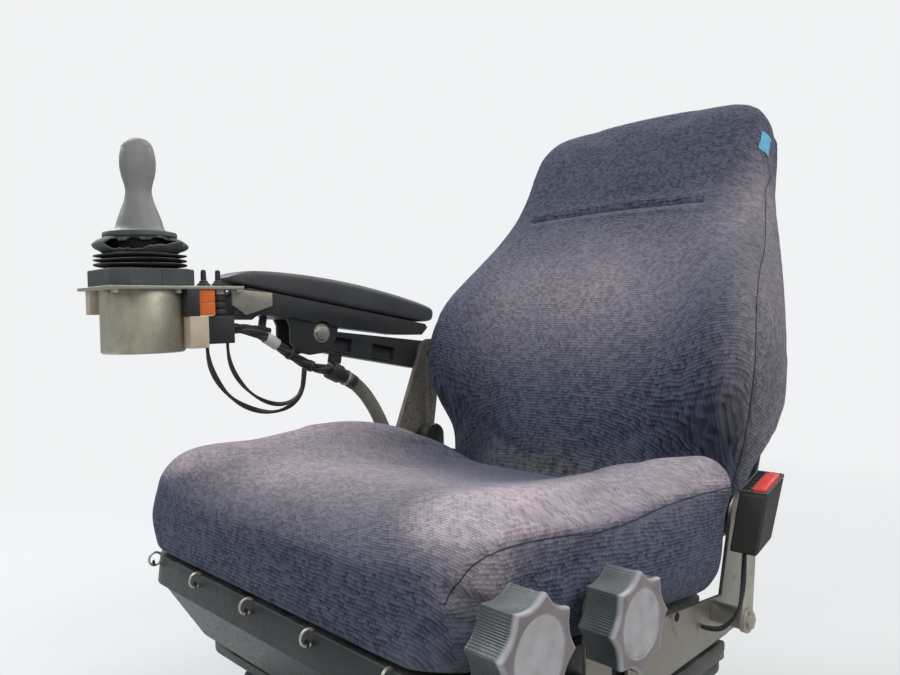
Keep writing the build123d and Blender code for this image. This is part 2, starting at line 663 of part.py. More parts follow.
# Buckle strap: a steel strip with a spacer and bolt to the left side plate
with BuildPart() as buckle_strap:
    with BuildSketch(strap_plane(STRAP_X)):
        Circle(STRAP_WIDE / 2)
        with Locations((0, STRAP_LONG / 2)):
            Rectangle(STRAP_WIDE, STRAP_LONG)
    extrude(amount=STRAP_THICK)
    with BuildSketch(buckle_plane(STRAP_X)):
        with BuildLine():
            Polyline(*BUCKLE_OUTLINE, close=True)
        make_face()
    extrude(amount=STRAP_THICK, mode=Mode.SUBTRACT)
    with BuildSketch(strap_plane(HALF_PAN + SIDE_THICK)):
        Circle(STRAP_SPACER_R)
    extrude(amount=STRAP_X - HALF_PAN - SIDE_THICK)
    with BuildSketch(strap_plane(STRAP_X + STRAP_THICK)):
        RegularPolygon(STRAP_HEAD_R, 6)
    extrude(amount=STRAP_BOLT_R)
save(buckle_strap, "buckle_strap")

# Buckle: a slant-ended box on the strap's end, with a slot for the tongue beside a sunk button
buckle_low, buckle_high = Vector(*BUCKLE_OUTLINE[3]), Vector(*BUCKLE_OUTLINE[2])
buckle_end = (buckle_low + buckle_high) / 2
buckle_end_long = (buckle_high - buckle_low).length
buckle_slant = (buckle_high - buckle_low).get_angle(Vector(1, 0))
with BuildPart() as buckle_body:
    with BuildSketch(buckle_plane(BUCKLE_X)):
        with BuildLine():
            Polyline(*BUCKLE_OUTLINE, close=True)
        make_face()
    extrude(amount=BUCKLE_THICK)
    fillet(buckle_body.edges(), BUCKLE_EDGE)
    with BuildSketch(buckle_plane(TONGUE_X)):
        with Locations((buckle_end.X, buckle_end.Y)):
            Rectangle(TONGUE_WIDE, 2 * TONGUE_DEEP)
    extrude(amount=TONGUE_SLOT, mode=Mode.SUBTRACT)
    with BuildSketch(buckle_plane(BUTTON_X)):
        with Locations(Location((buckle_end.X, buckle_end.Y, 0), (0, 0, buckle_slant))):
            Rectangle(buckle_end_long - 2 * BUTTON_RIM, 2 * BUTTON_DEEP)
    extrude(amount=BUTTON_WIDE, mode=Mode.SUBTRACT)
save(buckle_body, "buckle_body")
with BuildPart() as buckle_button:
    with BuildSketch(buckle_plane(BUTTON_X + BUTTON_GAP)):
        with Locations(Location((buckle_end.X, buckle_end.Y, 0), (0, 0, buckle_slant))):
            Rectangle(buckle_end_long - 2 * BUTTON_RIM - 2 * BUTTON_GAP, BUTTON_DEEP - SEAT_GAP,
                      align=(Align.CENTER, Align.MAX))
    extrude(amount=BUTTON_WIDE - 2 * BUTTON_GAP)
save(buckle_button, "buckle_button")

# Belt retractor: a drum housing on a zinc bracket on the right side plate's ear
with BuildPart() as belt_retractor:
    with BuildSketch(Plane.YZ.offset(RETRACTOR_X)):
        with Locations((RETRACTOR_Y, RETRACTOR_FROM_Z + RETRACTOR_HIGH / 2)):
            RectangleRounded(RETRACTOR_LONG, RETRACTOR_HIGH, RETRACTOR_ROUND)
    extrude(amount=-RETRACTOR_WIDE)
save(belt_retractor, "belt_retractor")
with BuildPart() as retractor_bracket:
    with BuildSketch(Plane.YZ.offset(-HALF_PAN - SIDE_THICK)):
        with Locations((BRACKET_Y, PIVOT_BACK_Z)):
            Rectangle(BRACKET_LONG, BRACKET_HIGH)
    extrude(amount=RETRACTOR_X + HALF_PAN + SIDE_THICK)
save(retractor_bracket, "retractor_bracket")

# Armrest upright: a cranked plate on the right side plate, up to the beam's rear pivot
with BuildPart() as armrest_upright:
    with BuildSketch(Plane.YZ.offset(UPRIGHT_X)):
        with Locations((PIVOT_Y, PIVOT_Z)):
            Circle(UPRIGHT_R)
        with BuildLine():
            Polyline((PIVOT_Y - UPRIGHT_R, PIVOT_Z), (UPRIGHT_FOOT_FROM, UPRIGHT_FOOT_Z),
                     (UPRIGHT_FOOT_TO, UPRIGHT_FOOT_Z), (PIVOT_Y + UPRIGHT_R, PIVOT_Z), close=True)
        make_face()
        with Locations((PIVOT_Y, PIVOT_Z)):
            Circle(BEAM_BOLT_R + PIN_GAP, mode=Mode.SUBTRACT)
    extrude(amount=-UPRIGHT_THICK)
    with BuildSketch(Plane.XY.offset(UPRIGHT_FOOT_Z)):
        with Locations(((UPRIGHT_X - UPRIGHT_THICK - HALF_PAN - SIDE_THICK) / 2,
                        (UPRIGHT_FOOT_FROM + UPRIGHT_FOOT_TO) / 2)):
            Rectangle(-UPRIGHT_X + UPRIGHT_THICK - HALF_PAN - SIDE_THICK, UPRIGHT_FOOT_TO - UPRIGHT_FOOT_FROM)
    extrude(amount=-UPRIGHT_THICK)
    with BuildSketch(Plane.YZ.offset(-HALF_PAN - SIDE_THICK)):
        with Locations(((SKIRT_FROM + SKIRT_TO) / 2, UPRIGHT_FOOT_Z - SKIRT_HIGH / 2)):
            Rectangle(SKIRT_TO - SKIRT_FROM, SKIRT_HIGH)
    extrude(amount=-UPRIGHT_THICK)
save(armrest_upright, "armrest_upright")

# Armrest beam: a bar with two pocketed windows, a pin at the rear and a bolt eye at the front
BEAM_X = UPRIGHT_X - UPRIGHT_THICK - RUN_GAP
with BuildPart() as armrest_beam:
    with BuildSketch(beam_plane(BEAM_X)):
        Circle(BEAM_REAR_R)
        with Locations((BEAM_LONG, 0)):
            Circle(BEAM_FRONT_R)
        with BuildLine():
            Polyline((0, BEAM_REAR_R), (BEAM_LONG - BEAM_FRONT_R, BEAM_TOP), (BEAM_LONG, BEAM_TOP),
                     (BEAM_LONG + BEAM_FRONT_R, 0), (BEAM_LONG + BEAM_FRONT_R, -BEAM_LOW),
                     (BEAM_REAR_R / 2, -BEAM_LOW), (-BEAM_REAR_R, 0), close=True)
        make_face()
        with Locations((BEAM_LONG, 0)):
            Circle(BEAM_BOLT_R + PIN_GAP, mode=Mode.SUBTRACT)
    extrude(amount=BEAM_THICK)
    for window_from, window_to in BEAM_WINDOWS:
        slots = round((window_to - window_from) / BEAM_SLOT_PITCH)
        for side_x, way in ((0, 1), (BEAM_THICK, -1)):
            with BuildSketch(beam_plane(BEAM_X - side_x)):
                with Locations(((window_from + window_to) / 2, (BEAM_TOP - BEAM_LOW) / 2)):
                    Rectangle(window_to - window_from, BEAM_TOP + BEAM_LOW - 2 * BEAM_RIM)
            extrude(amount=way * (BEAM_THICK - BEAM_WEB) / 2, mode=Mode.SUBTRACT)
            with BuildSketch(beam_plane(BEAM_X - side_x)):
                with Locations(((window_from + window_to) / 2, BEAM_RIM / 2 - BEAM_LOW)):
                    with GridLocations(BEAM_SLOT_PITCH, BEAM_RIM, slots, 1):
                        Rectangle(BEAM_SLOT_LONG, BEAM_SLOT_HIGH)
            extrude(amount=way * BEAM_SLOT_DEEP, mode=Mode.SUBTRACT)
    with BuildSketch(beam_plane(UPRIGHT_X)):
        Circle(BEAM_BOLT_R)
    extrude(amount=UPRIGHT_X - BEAM_X)
save(armrest_beam, "armrest_beam")

# Armrest tray: the housing under the pad, with a cheek each side of the beam's front eye
TRAY_X = BEAM_X - BEAM_THICK / 2
CHEEK_X = BEAM_X + RUN_GAP + CHEEK_THICK
FORK_WIDE = BEAM_THICK + 2 * RUN_GAP
with BuildPart() as armrest_tray:
    with BuildSketch(beam_plane(CHEEK_X)):
        with BuildLine():
            Polyline(*CHEEK_OUTLINE, close=True)
        make_face()
    extrude(amount=FORK_WIDE + 2 * CHEEK_THICK)
    with BuildSketch(beam_plane(BEAM_X + RUN_GAP)):
        with Locations((BEAM_LONG, BEAM_FRONT_R + RUN_GAP)):
            Rectangle(BEAM_LONG, BEAM_LONG / 2, align=(Align.CENTER, Align.MAX))
    extrude(amount=FORK_WIDE, mode=Mode.SUBTRACT)
    with BuildSketch(beam_plane(TRAY_X + TRAY_WIDE / 2)):
        with BuildLine():
            Polyline(*TRAY_OUTLINE, close=True)
        make_face()
        with Locations((BEAM_LONG, 0)):
            Circle(BEAM_FRONT_R + RUN_GAP, mode=Mode.SUBTRACT)
    extrude(amount=TRAY_WIDE)
    with BuildSketch(beam_plane(CHEEK_X)):
        with Locations((BEAM_LONG, 0)):
            Circle(BEAM_BOLT_R)
    extrude(amount=FORK_WIDE + 2 * CHEEK_THICK)
save(armrest_tray, "armrest_tray")

# Armrest pad: a long wedge over the tray
with BuildPart() as armrest_pad:
    with BuildSketch(beam_plane(PAD_X + PAD_HALF)):
        with BuildLine():
            Polyline(PAD_CROWN[-1], PAD_NOSE, *PAD_UNDERSIDE)
            ThreePointArc(PAD_UNDERSIDE[-1], *PAD_CROWN)
        make_face()
    extrude(amount=2 * PAD_HALF)
    fillet(armrest_pad.edges().filter_by(GeomType.CIRCLE), PAD_EDGE)
save(armrest_pad, "armrest_pad")

# Tilt bolt head on the near cheek, and the T-knob under the tray that locks the tilt
with BuildPart() as tilt_bolt:
    with BuildSketch(beam_plane(CHEEK_X + BOLT_HEAD)):
        with Locations((BEAM_LONG, 0)):
            RegularPolygon(BOLT_HEAD_R, 6)
    extrude(amount=BOLT_HEAD)
save(tilt_bolt, "tilt_bolt")
with BuildPart() as tilt_knob:
    with BuildSketch(beam_plane(TRAY_X + TEE_WIDE / 2)):
        with Locations((TEE_AT, TEE_LOW)):
            Rectangle(TEE_LONG, TEE_THICK)
        with Locations((TEE_AT, (TEE_LOW + TEE_TOP) / 2)):
            Rectangle(TEE_THICK, TEE_TOP - TEE_LOW)
    extrude(amount=TEE_WIDE)
save(tilt_knob, "tilt_knob")

# Console bracket: a zinc plate on each side of the tray's front, flanged to the console plate
with BuildPart() as console_bracket:
    for side in SIDES.values():
        face_x = TRAY_X + side * TRAY_WIDE / 2
        with BuildSketch(Plane.YZ.offset(face_x)):
            with BuildLine():
                Polyline(*BRACKET_OUTLINE, close=True)
            make_face()
        extrude(amount=side * BRACKET_THICK)
        with BuildSketch(Plane.YZ.offset(face_x)):
            with Locations(BRACKET_OUTLINE[0]):
                Rectangle(BRACKET_FLANGE, BRACKET_THICK, align=(Align.MIN, Align.MAX))
        extrude(amount=side * (BRACKET_THICK + BRACKET_FLANGE))
save(console_bracket, "console_bracket")
with BuildPart() as console_plate:
    with BuildSketch(Plane.XY.offset(PLATE_Z)):
        with Locations((CONSOLE_X, (PLATE_FROM_Y + PLATE_TO_Y) / 2)):
            Rectangle(PLATE_WIDE, PLATE_TO_Y - PLATE_FROM_Y)
    extrude(amount=PLATE_THICK)
save(console_plate, "console_plate")

# Can of the joystick, hung under the plate
with BuildPart() as joystick_can:
    with BuildSketch(Plane.XY.offset(PLATE_Z)):
        with Locations((CONSOLE_X, CONSOLE_Y)):
            Circle(CAN_R)
    extrude(amount=-CAN_HIGH)
    chamfer(joystick_can.faces().sort_by(Axis.Z)[0].edges(), CAN_BEVEL)
save(joystick_can, "joystick_can")

# Collar and bellows of the joystick on the plate, and its handle
with BuildPart() as joystick_collar:
    with BuildSketch(Plane.XY.offset(PLATE_Z + PLATE_THICK)):
        with Locations((CONSOLE_X, CONSOLE_Y)):
            RectangleRounded(COLLAR_WIDE, COLLAR_WIDE, COLLAR_CORNER)
    extrude(amount=COLLAR_HIGH)
save(joystick_collar, "joystick_collar")
BOOT_Z = PLATE_Z + PLATE_THICK + COLLAR_HIGH
BOOT_CUFF_Z = BOOT_Z + (BOOT_FOLDS + 0.5) * BOOT_PITCH
BOOT_TOP_Z = BOOT_CUFF_Z + BOOT_CUFF + 2 * BOOT_RING
stick_plane = Plane(origin=(CONSOLE_X, CONSOLE_Y, 0), x_dir=(1, 0, 0), z_dir=(0, -1, 0))
with BuildPart() as joystick_boot:
    with BuildSketch(stick_plane):
        with Locations((0, BOOT_Z)):
            Rectangle(BOOT_NECK_R, BOOT_CUFF_Z - BOOT_Z + BOOT_CUFF, align=(Align.MIN, Align.MIN))
        for fold in range(BOOT_FOLDS):
            with Locations((0, BOOT_Z + (fold + 1) * BOOT_PITCH)):
                Rectangle(BOOT_R, BOOT_LIP, align=(Align.MIN, Align.CENTER))
        with Locations((0, BOOT_CUFF_Z + BOOT_CUFF / 2)):
            Rectangle(BOOT_R, BOOT_CUFF_LIP, align=(Align.MIN, Align.CENTER))
        with Locations((0, BOOT_CUFF_Z + BOOT_CUFF)):
            Rectangle(BOOT_NECK_R - BOOT_RING, BOOT_RING, align=(Align.MIN, Align.MIN))
        with Locations((0, BOOT_TOP_Z)):
            Rectangle(BOOT_RING_R, BOOT_RING, align=(Align.MIN, Align.MAX))
    revolve(axis=Axis((CONSOLE_X, CONSOLE_Y, 0), (0, 0, 1)))
save(joystick_boot, "joystick_boot")
with BuildPart() as joystick_handle:
    with BuildSketch(stick_plane):
        with Locations((0, BOOT_TOP_Z)):
            Trapezoid(2 * STICK_FOOT_R, STICK_FOOT_HIGH, STICK_FOOT_ANGLE, align=(Align.CENTER, Align.MIN))
        with Locations((0, BOOT_TOP_Z)):
            Rectangle(2 * STICK_WAIST_R, STICK_NECK, align=(Align.CENTER, Align.MIN))
        with Locations((0, BOOT_TOP_Z + STICK_NECK)):
            Ellipse(STICK_R, STICK_GRIP_HALF)
        with Locations((0, BOOT_TOP_Z)):
            Rectangle(BOOT_RING_R, 2 * BOOT_TOP_Z, align=(Align.MAX, Align.CENTER), mode=Mode.SUBTRACT)
    revolve(axis=Axis((CONSOLE_X, CONSOLE_Y, 0), (0, 0, 1)))
save(joystick_handle, "joystick_handle")

# Two booted toggle switches on the plate
with BuildPart() as toggle_switches:
    for toggle_y in TOGGLE_PLACES:
        for toggle_r, toggle_high in ((TOGGLE_BASE_R, TOGGLE_BASE), (TOGGLE_R, TOGGLE_HIGH)):
            with BuildSketch(Plane.XY.offset(PLATE_Z + PLATE_THICK)):
                with Locations((TOGGLE_X, toggle_y)):
                    Circle(toggle_r)
            extrude(amount=toggle_high)
save(toggle_switches, "toggle_switches")

# Switch body, signal blocks, relays and connector block under the plate, and a ribbed cable gland
for box_name, (x_from, x_to, y_from, y_to, z_from, z_to) in HUNG_BOXES.items():
    with BuildPart() as hung_box:
        with BuildSketch(Plane.XY.offset(z_from)):
            with Locations(((x_from + x_to) / 2, (y_from + y_to) / 2)):
                Rectangle(x_to - x_from, y_to - y_from)
        extrude(amount=z_to - z_from)
    save(hung_box, box_name)
rib_pitch = (PLATE_Z - STACK_LOW_Z) / STACK_RIBS
with BuildPart() as ribbed_gland:
    for rib in range(STACK_RIBS):
        for rib_r, rib_from, rib_high in ((STACK_NECK_R, 0, rib_pitch), (STACK_R, rib_pitch / 4, rib_pitch / 2)):
            with BuildSketch(Plane.XY.offset(STACK_LOW_Z + rib * rib_pitch + rib_from)):
                with Locations((STACK_X, STACK_Y)):
                    Circle(rib_r)
            extrude(amount=rib_high)
save(ribbed_gland, "ribbed_gland")

# Conduit ferrule under the beam, and the gland on the upright's foot
ferrule_run = Vector(*FERRULE_FROM) - Vector(*CONDUIT_ROUTE[0])
with BuildPart() as conduit_ferrule:
    with BuildSketch(Plane(origin=CONDUIT_ROUTE[0], z_dir=ferrule_run.normalized())):
        Circle(FERRULE_R)
    extrude(amount=ferrule_run.length)
    with BuildSketch(beam_plane(FERRULE_FROM[0] + HANGER_WIDE / 2)):
        with Locations((HANGER_AT, -BEAM_LOW)):
            Rectangle(HANGER_LONG, HANGER_HIGH, align=(Align.CENTER, Align.MAX))
    extrude(amount=HANGER_WIDE)
save(conduit_ferrule, "conduit_ferrule")
with BuildPart() as conduit_gland:
    with BuildSketch(Plane.XY.offset(UPRIGHT_FOOT_Z)):
        with Locations(CONDUIT_ROUTE[-1][:2]):
            RegularPolygon(GLAND_R, 6)
    extrude(amount=CONDUIT_ROUTE[-1][2] - UPRIGHT_FOOT_Z)
save(conduit_gland, "conduit_gland")

# Harness, its two loops, the conduit and the buckle's switch wire
cord("harness_bundle", BUNDLE_ROUTE, BUNDLE_R)
cord("harness_loop", LOOP_ROUTE, LOOP_R)
cord("harness_spur", SPUR_ROUTE, SPUR_R)
cord("cable_conduit", CONDUIT_ROUTE, CONDUIT_R)
cord("buckle_wire", WIRE_ROUTE, WIRE_R)
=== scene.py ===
from math import cos, pi, radians, sin, sqrt

import bmesh
import bpy
import numpy as np
from mathutils import Matrix, Vector
from mathutils.bvhtree import BVHTree


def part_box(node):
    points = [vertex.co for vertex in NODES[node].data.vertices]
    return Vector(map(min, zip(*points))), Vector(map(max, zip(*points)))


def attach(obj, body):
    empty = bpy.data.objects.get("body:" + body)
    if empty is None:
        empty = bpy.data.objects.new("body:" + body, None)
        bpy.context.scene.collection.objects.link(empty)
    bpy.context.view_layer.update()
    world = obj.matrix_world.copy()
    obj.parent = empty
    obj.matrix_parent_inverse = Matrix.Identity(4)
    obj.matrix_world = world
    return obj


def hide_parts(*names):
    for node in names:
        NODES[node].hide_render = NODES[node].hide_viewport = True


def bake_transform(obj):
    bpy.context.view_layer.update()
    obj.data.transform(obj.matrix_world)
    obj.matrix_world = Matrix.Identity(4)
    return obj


# Looks of the operator's seat, in metres: +Z up, the seat faces -Y, the operator's left is +X
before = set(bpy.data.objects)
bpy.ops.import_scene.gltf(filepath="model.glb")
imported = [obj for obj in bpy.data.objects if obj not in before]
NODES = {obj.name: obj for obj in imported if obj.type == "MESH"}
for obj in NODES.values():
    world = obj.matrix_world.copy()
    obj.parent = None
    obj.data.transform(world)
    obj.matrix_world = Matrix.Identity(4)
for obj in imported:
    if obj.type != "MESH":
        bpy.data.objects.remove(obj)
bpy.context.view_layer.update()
SCENE = bpy.context.scene
MM = 0.001

# Camera at the photograph's place, with its focal length in pixels of the 900 pixel wide frame
FOCUS_PX = 740
FRAME_PX = 900
SENSOR = 36
EYE = Vector((0.5579, -0.5613, 0.5448))
EYE_YAW = radians(44.8)
EYE_PITCH = radians(2.04)
EYE_ROLL = radians(-1.19)

# Planes that the covers are drawn in, from the CAD model's own sizes, in millimetres
PAN_FRONT_Y, PAN_FRONT_Z, PAN_TILT = -240, 300, radians(7)
CREASE_Y, CREASE_Z, RECLINE = 165, 340, radians(27)
PIVOT_Y, PIVOT_Z, BEAM_SLOPE = 243, 478, radians(11)
ROLL_R = 42


def seat_point(across, along, high):
    """A point over the seat pan: across it, along it from its front edge, and above it."""
    return Vector((across,
                   PAN_FRONT_Y + along * cos(PAN_TILT) + high * sin(PAN_TILT),
                   PAN_FRONT_Z - along * sin(PAN_TILT) + high * cos(PAN_TILT))) * MM


def back_point(across, along, out):
    """A point of the backrest: across it, up along it from the crease, and out of its front."""
    return Vector((across,
                   CREASE_Y + along * sin(RECLINE) - out * cos(RECLINE),
                   CREASE_Z + along * cos(RECLINE) + out * sin(RECLINE))) * MM


def arm_point(x, along, high):
    """A point of the armrest: forwards from its rear pivot along the beam, and above the beam's line."""
    return Vector((x,
                   PIVOT_Y - along * cos(BEAM_SLOPE) + high * sin(BEAM_SLOPE),
                   PIVOT_Z + along * sin(BEAM_SLOPE) + high * cos(BEAM_SLOPE))) * MM


def eased(value, low, high):
    """0 below low, 1 above high, and smooth between them."""
    share = min(max((value - low) / (high - low), 0.0), 1.0)
    return share * share * (3 - 2 * share)


def reading(table, at):
    """The value of a short table of (place, value) pairs at a place, smooth between them."""
    places, values = zip(*table)
    if at <= places[0]:
        return values[0]
    if at >= places[-1]:
        return values[-1]
    k = next(i for i in range(1, len(places)) if at <= places[i])
    slopes = []
    for i in (k - 1, k):
        lo, hi = max(i - 1, 0), min(i + 1, len(places) - 1)
        slopes.append((values[hi] - values[lo]) / (places[hi] - places[lo]))
    span = places[k] - places[k - 1]
    t = (at - places[k - 1]) / span
    return ((2 * t**3 - 3 * t**2 + 1) * values[k - 1] + (t**3 - 2 * t**2 + t) * span * slopes[0]
            + (3 * t**2 - 2 * t**3) * values[k] + (t**3 - t**2) * span * slopes[1])


def round_turn(count):
    """The angles of a full turn, in equal steps."""
    return [2 * pi * i / count for i in range(count)]


def squared_off(value, power):
    """A value from -1 to 1, pushed outwards by a power under 1 with its sign kept."""
    return abs(value)**power * (1 if value > 0 else -1)


def aim_camera():
    """The camera at the photograph's place, from its turn, its tip downwards and its roll."""
    up = Vector((0, 0, 1))
    level = Vector((-sin(EYE_YAW), cos(EYE_YAW), 0))
    across = Vector((cos(EYE_YAW), sin(EYE_YAW), 0))
    ahead = level * cos(EYE_PITCH) - up * sin(EYE_PITCH)
    rise = up * cos(EYE_PITCH) + level * sin(EYE_PITCH)
    right = across * cos(EYE_ROLL) + rise * sin(EYE_ROLL)
    top = rise * cos(EYE_ROLL) - across * sin(EYE_ROLL)
    camera = bpy.data.objects.new("camera", bpy.data.cameras.new("camera"))
    camera.data.sensor_width = SENSOR
    camera.data.lens = FOCUS_PX * SENSOR / FRAME_PX
    camera.data.clip_start = 0.01
    camera.matrix_world = Matrix.Translation(EYE) @ Matrix((right, top, -ahead)).transposed().to_4x4()
    SCENE.collection.objects.link(camera)
    SCENE.camera = camera


def link_piece(name, mesh, *materials):
    piece = bpy.data.objects.new(name, mesh)
    SCENE.collection.objects.link(piece)
    for material in materials:
        mesh.materials.append(material)
    return piece


def piece_from(name, points, faces, *materials, smooth=True):
    """A piece from points in metres and faces, with its doubles merged and its faces outwards."""
    mesh = bpy.data.meshes.new(name)
    mesh.from_pydata([tuple(point) for point in points], [], faces)
    form = bmesh.new()
    form.from_mesh(mesh)
    bmesh.ops.remove_doubles(form, verts=form.verts, dist=1e-6)
    bmesh.ops.recalc_face_normals(form, faces=form.faces)
    form.to_mesh(mesh)
    form.free()
    mesh.polygons.foreach_set("use_smooth", [smooth] * len(mesh.polygons))
    return link_piece(name, mesh, *materials)


def joined_piece(name, pieces):
    """Several pieces as one mesh, which keeps each one's materials."""
    target = bmesh.new()
    materials = []
    for piece in pieces:
        part = bmesh.new()
        part.from_mesh(piece.data)
        for face in part.faces:
            material = piece.data.materials[face.material_index]
            if material not in materials:
                materials.append(material)
            face.material_index = materials.index(material)
        whole = bpy.data.meshes.new("part")
        part.to_mesh(whole)
        part.free()
        target.from_mesh(whole)
        bpy.data.meshes.remove(whole)
    mesh = bpy.data.meshes.new(name)
    target.to_mesh(mesh)
    target.free()
    for piece in pieces:
        bpy.data.objects.remove(piece)
    return link_piece(name, mesh, *materials)


def placed(piece, body, node=None):
    """Puts a piece on a body, and in place of a CAD node if one is named."""
    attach(piece, body)
    if node:
        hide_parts(node)


def settled(piece):
    """Applies a piece's modifiers to its mesh."""
    evaluated = piece.evaluated_get(bpy.context.evaluated_depsgraph_get())
    mesh = bpy.data.meshes.new_from_object(evaluated)
    piece.modifiers.clear()
    piece.data = mesh
    return piece


def subdivided(piece, levels):
    divide = piece.modifiers.new("smooth form", "SUBSURF")
    divide.levels = divide.render_levels = levels
    return settled(piece)


def rings_mesh(name, rings, *materials, first_pole=None, last_pole=None, smooth=True):
    """A closed skin over rings of points, with a pole or a flat end at the first and the last."""
    count = len(rings[0])
    points = [point for ring in rings for point in ring]
    faces = []
    for k in range(len(rings) - 1):
        for i in range(count):
            j = (i + 1) % count
            faces.append((k * count + i, k * count + j, (k + 1) * count + j, (k + 1) * count + i))
    for pole, start in ((first_pole, 0), (last_pole, len(points) - count)):
        if pole is None:
            faces.append(tuple(range(start, start + count)))
            continue
        points = points + [pole]
        for i in range(count):
            faces.append((start + i, start + (i + 1) % count, len(points) - 1))
    return piece_from(name, points, faces, *materials, smooth=smooth)


# Cords: the routes of the CAD model, in millimetres
BUNDLE_ROUTE = [(-290, -99, 529), (-290, -82, 529), (-290, -62, 523), (-291, -40, 512), (-292, -15, 495),
                (-294, 8, 481), (-296, 26, 472.5), (-297.5, 43, 467.5), (-298, 60, 465.5)]
LOOP_ROUTE = [(-292, -128, 511), (-292, -128, 492), (-292, -118, 466), (-294, -98, 441), (-296, -68, 423),
              (-297, -35, 415), (-297, -6, 421), (-296, 12.5, 442.5), (-295, 15.5, 467.5)]
SPUR_ROUTE = [(-286, -104, 511), (-286, -104, 492), (-285, -94, 467), (-284, -74, 444), (-284, -47, 429),
              (-286, -20, 426), (-288, 1, 437), (-290, 8, 455), (-290.5, 10.5, 471.5)]
CONDUIT_ROUTE = [(-299, 75, 458), (-299.95, 91.15, 450.4), (-299, 107, 439.5), (-295, 121, 423),
                 (-287, 132, 399), (-277, 140, 369), (-268, 145, 334), (-260, 149, 296), (-260, 149, 258)]
WIRE_ROUTE = [(261, 132.8, 306), (261, 130.4, 289), (261, 127.4, 271), (260, 121.5, 254), (253, 115, 241),
              (242, 111, 233), (228, 111, 233)]
BUNDLE_R, LOOP_R, SPUR_R, CONDUIT_R, WIRE_R = (radius * MM for radius in (7, 3.5, 3, 10, 2.5))
CORD_STEPS = 16         # points of a cord's line on each of its spans
CORD_SIDES = 30
CORD_STEP = 2 * MM
CONDUIT_RIB = 3.4 * MM
CONDUIT_RIB_DEEP = 0.6 * MM
STRAND_TURN = 130 * MM  # of cord length for one turn of its strands


def route_line(route):
    """Points along the smooth line that a route's points control."""
    curve = bpy.data.curves.new("route", "CURVE")
    curve.dimensions = "3D"
    curve.resolution_u = CORD_STEPS
    spline = curve.splines.new("NURBS")
    spline.points.add(len(route) - 1)
    for point, place in zip(spline.points, route):
        point.co = (*(value * MM for value in place), 1)
    spline.order_u = 3
    spline.use_endpoint_u = True
    holder = bpy.data.objects.new("route", curve)
    SCENE.collection.objects.link(holder)
    line = bpy.data.meshes.new_from_object(holder)
    points = [vertex.co.copy() for vertex in line.vertices]
    bpy.data.objects.remove(holder)
    bpy.data.meshes.remove(line)
    return points


def line_length(points):
    return sum((b - a).length for a, b in zip(points, points[1:]))


def evenly(points, step):
    """Points along a line, a step apart."""
    total = line_length(points)
    count = max(2, round(total / step))
    spaced, travelled, k = [], 0.0, 0
    for i in range(count + 1):
        aim = total * i / count
        while k < len(points) - 2 and travelled + (points[k + 1] - points[k]).length < aim:
            travelled += (points[k + 1] - points[k]).length
            k += 1
        run = (points[k + 1] - points[k]).length
        spaced.append(points[k].lerp(points[k + 1], min(1.0, (aim - travelled) / max(run, 1e-9))))
    return spaced


def frames_along(points):
    """For each point of a line, a pair of directions square to it that don't twist."""
    tangents = [(b - a).normalized() for a, b in zip(points, points[1:])]
    tangents = [tangents[0]] + [(a + b).normalized() for a, b in zip(tangents, tangents[1:])] + [tangents[-1]]
    side = tangents[0].orthogonal().normalized()
    frames = []
    for tangent in tangents:
        side = (side - tangent * side.dot(tangent)).normalized()
        frames.append((side, tangent.cross(side)))
    return frames


def tube(name, points, radius, *materials, sides=CORD_SIDES):
    """A closed tube along a line, whose radius is a function of distance and angle."""
    rings, travelled = [], 0.0
    for k, (point, (side, rise)) in enumerate(zip(points, frames_along(points))):
        if k:
            travelled += (point - points[k - 1]).length
        ring = []
        for angle in round_turn(sides):
            reach = radius(travelled, angle)
            ring.append(point + side * (reach * cos(angle)) + rise * (reach * sin(angle)))
        rings.append(ring)
    return rings_mesh(name, rings, *materials, first_pole=points[0], last_pole=points[-1])


def stranded(radius, strands):
    """The radius of some round strands, laid together and slowly turned, at a distance and an angle."""
    strand = radius * (0.5 if strands == 2 else 0.46)
    reach = radius - strand

    def outline(distance, angle):
        turned = (angle + 2 * pi * distance / STRAND_TURN) % (2 * pi / strands) - pi / strands
        inner = strand**2 - (reach * sin(turned))**2
        if inner < 0:
            return radius * 0.62
        return max(radius * 0.62, reach * cos(turned) + sqrt(inner))
    return outline


def ribbed(radius):
    """The radius of a ribbed conduit at a distance and an angle."""
    def outline(distance, angle):
        return radius - CONDUIT_RIB_DEEP * (0.5 + 0.5 * cos(2 * pi * distance / CONDUIT_RIB))
    return outline


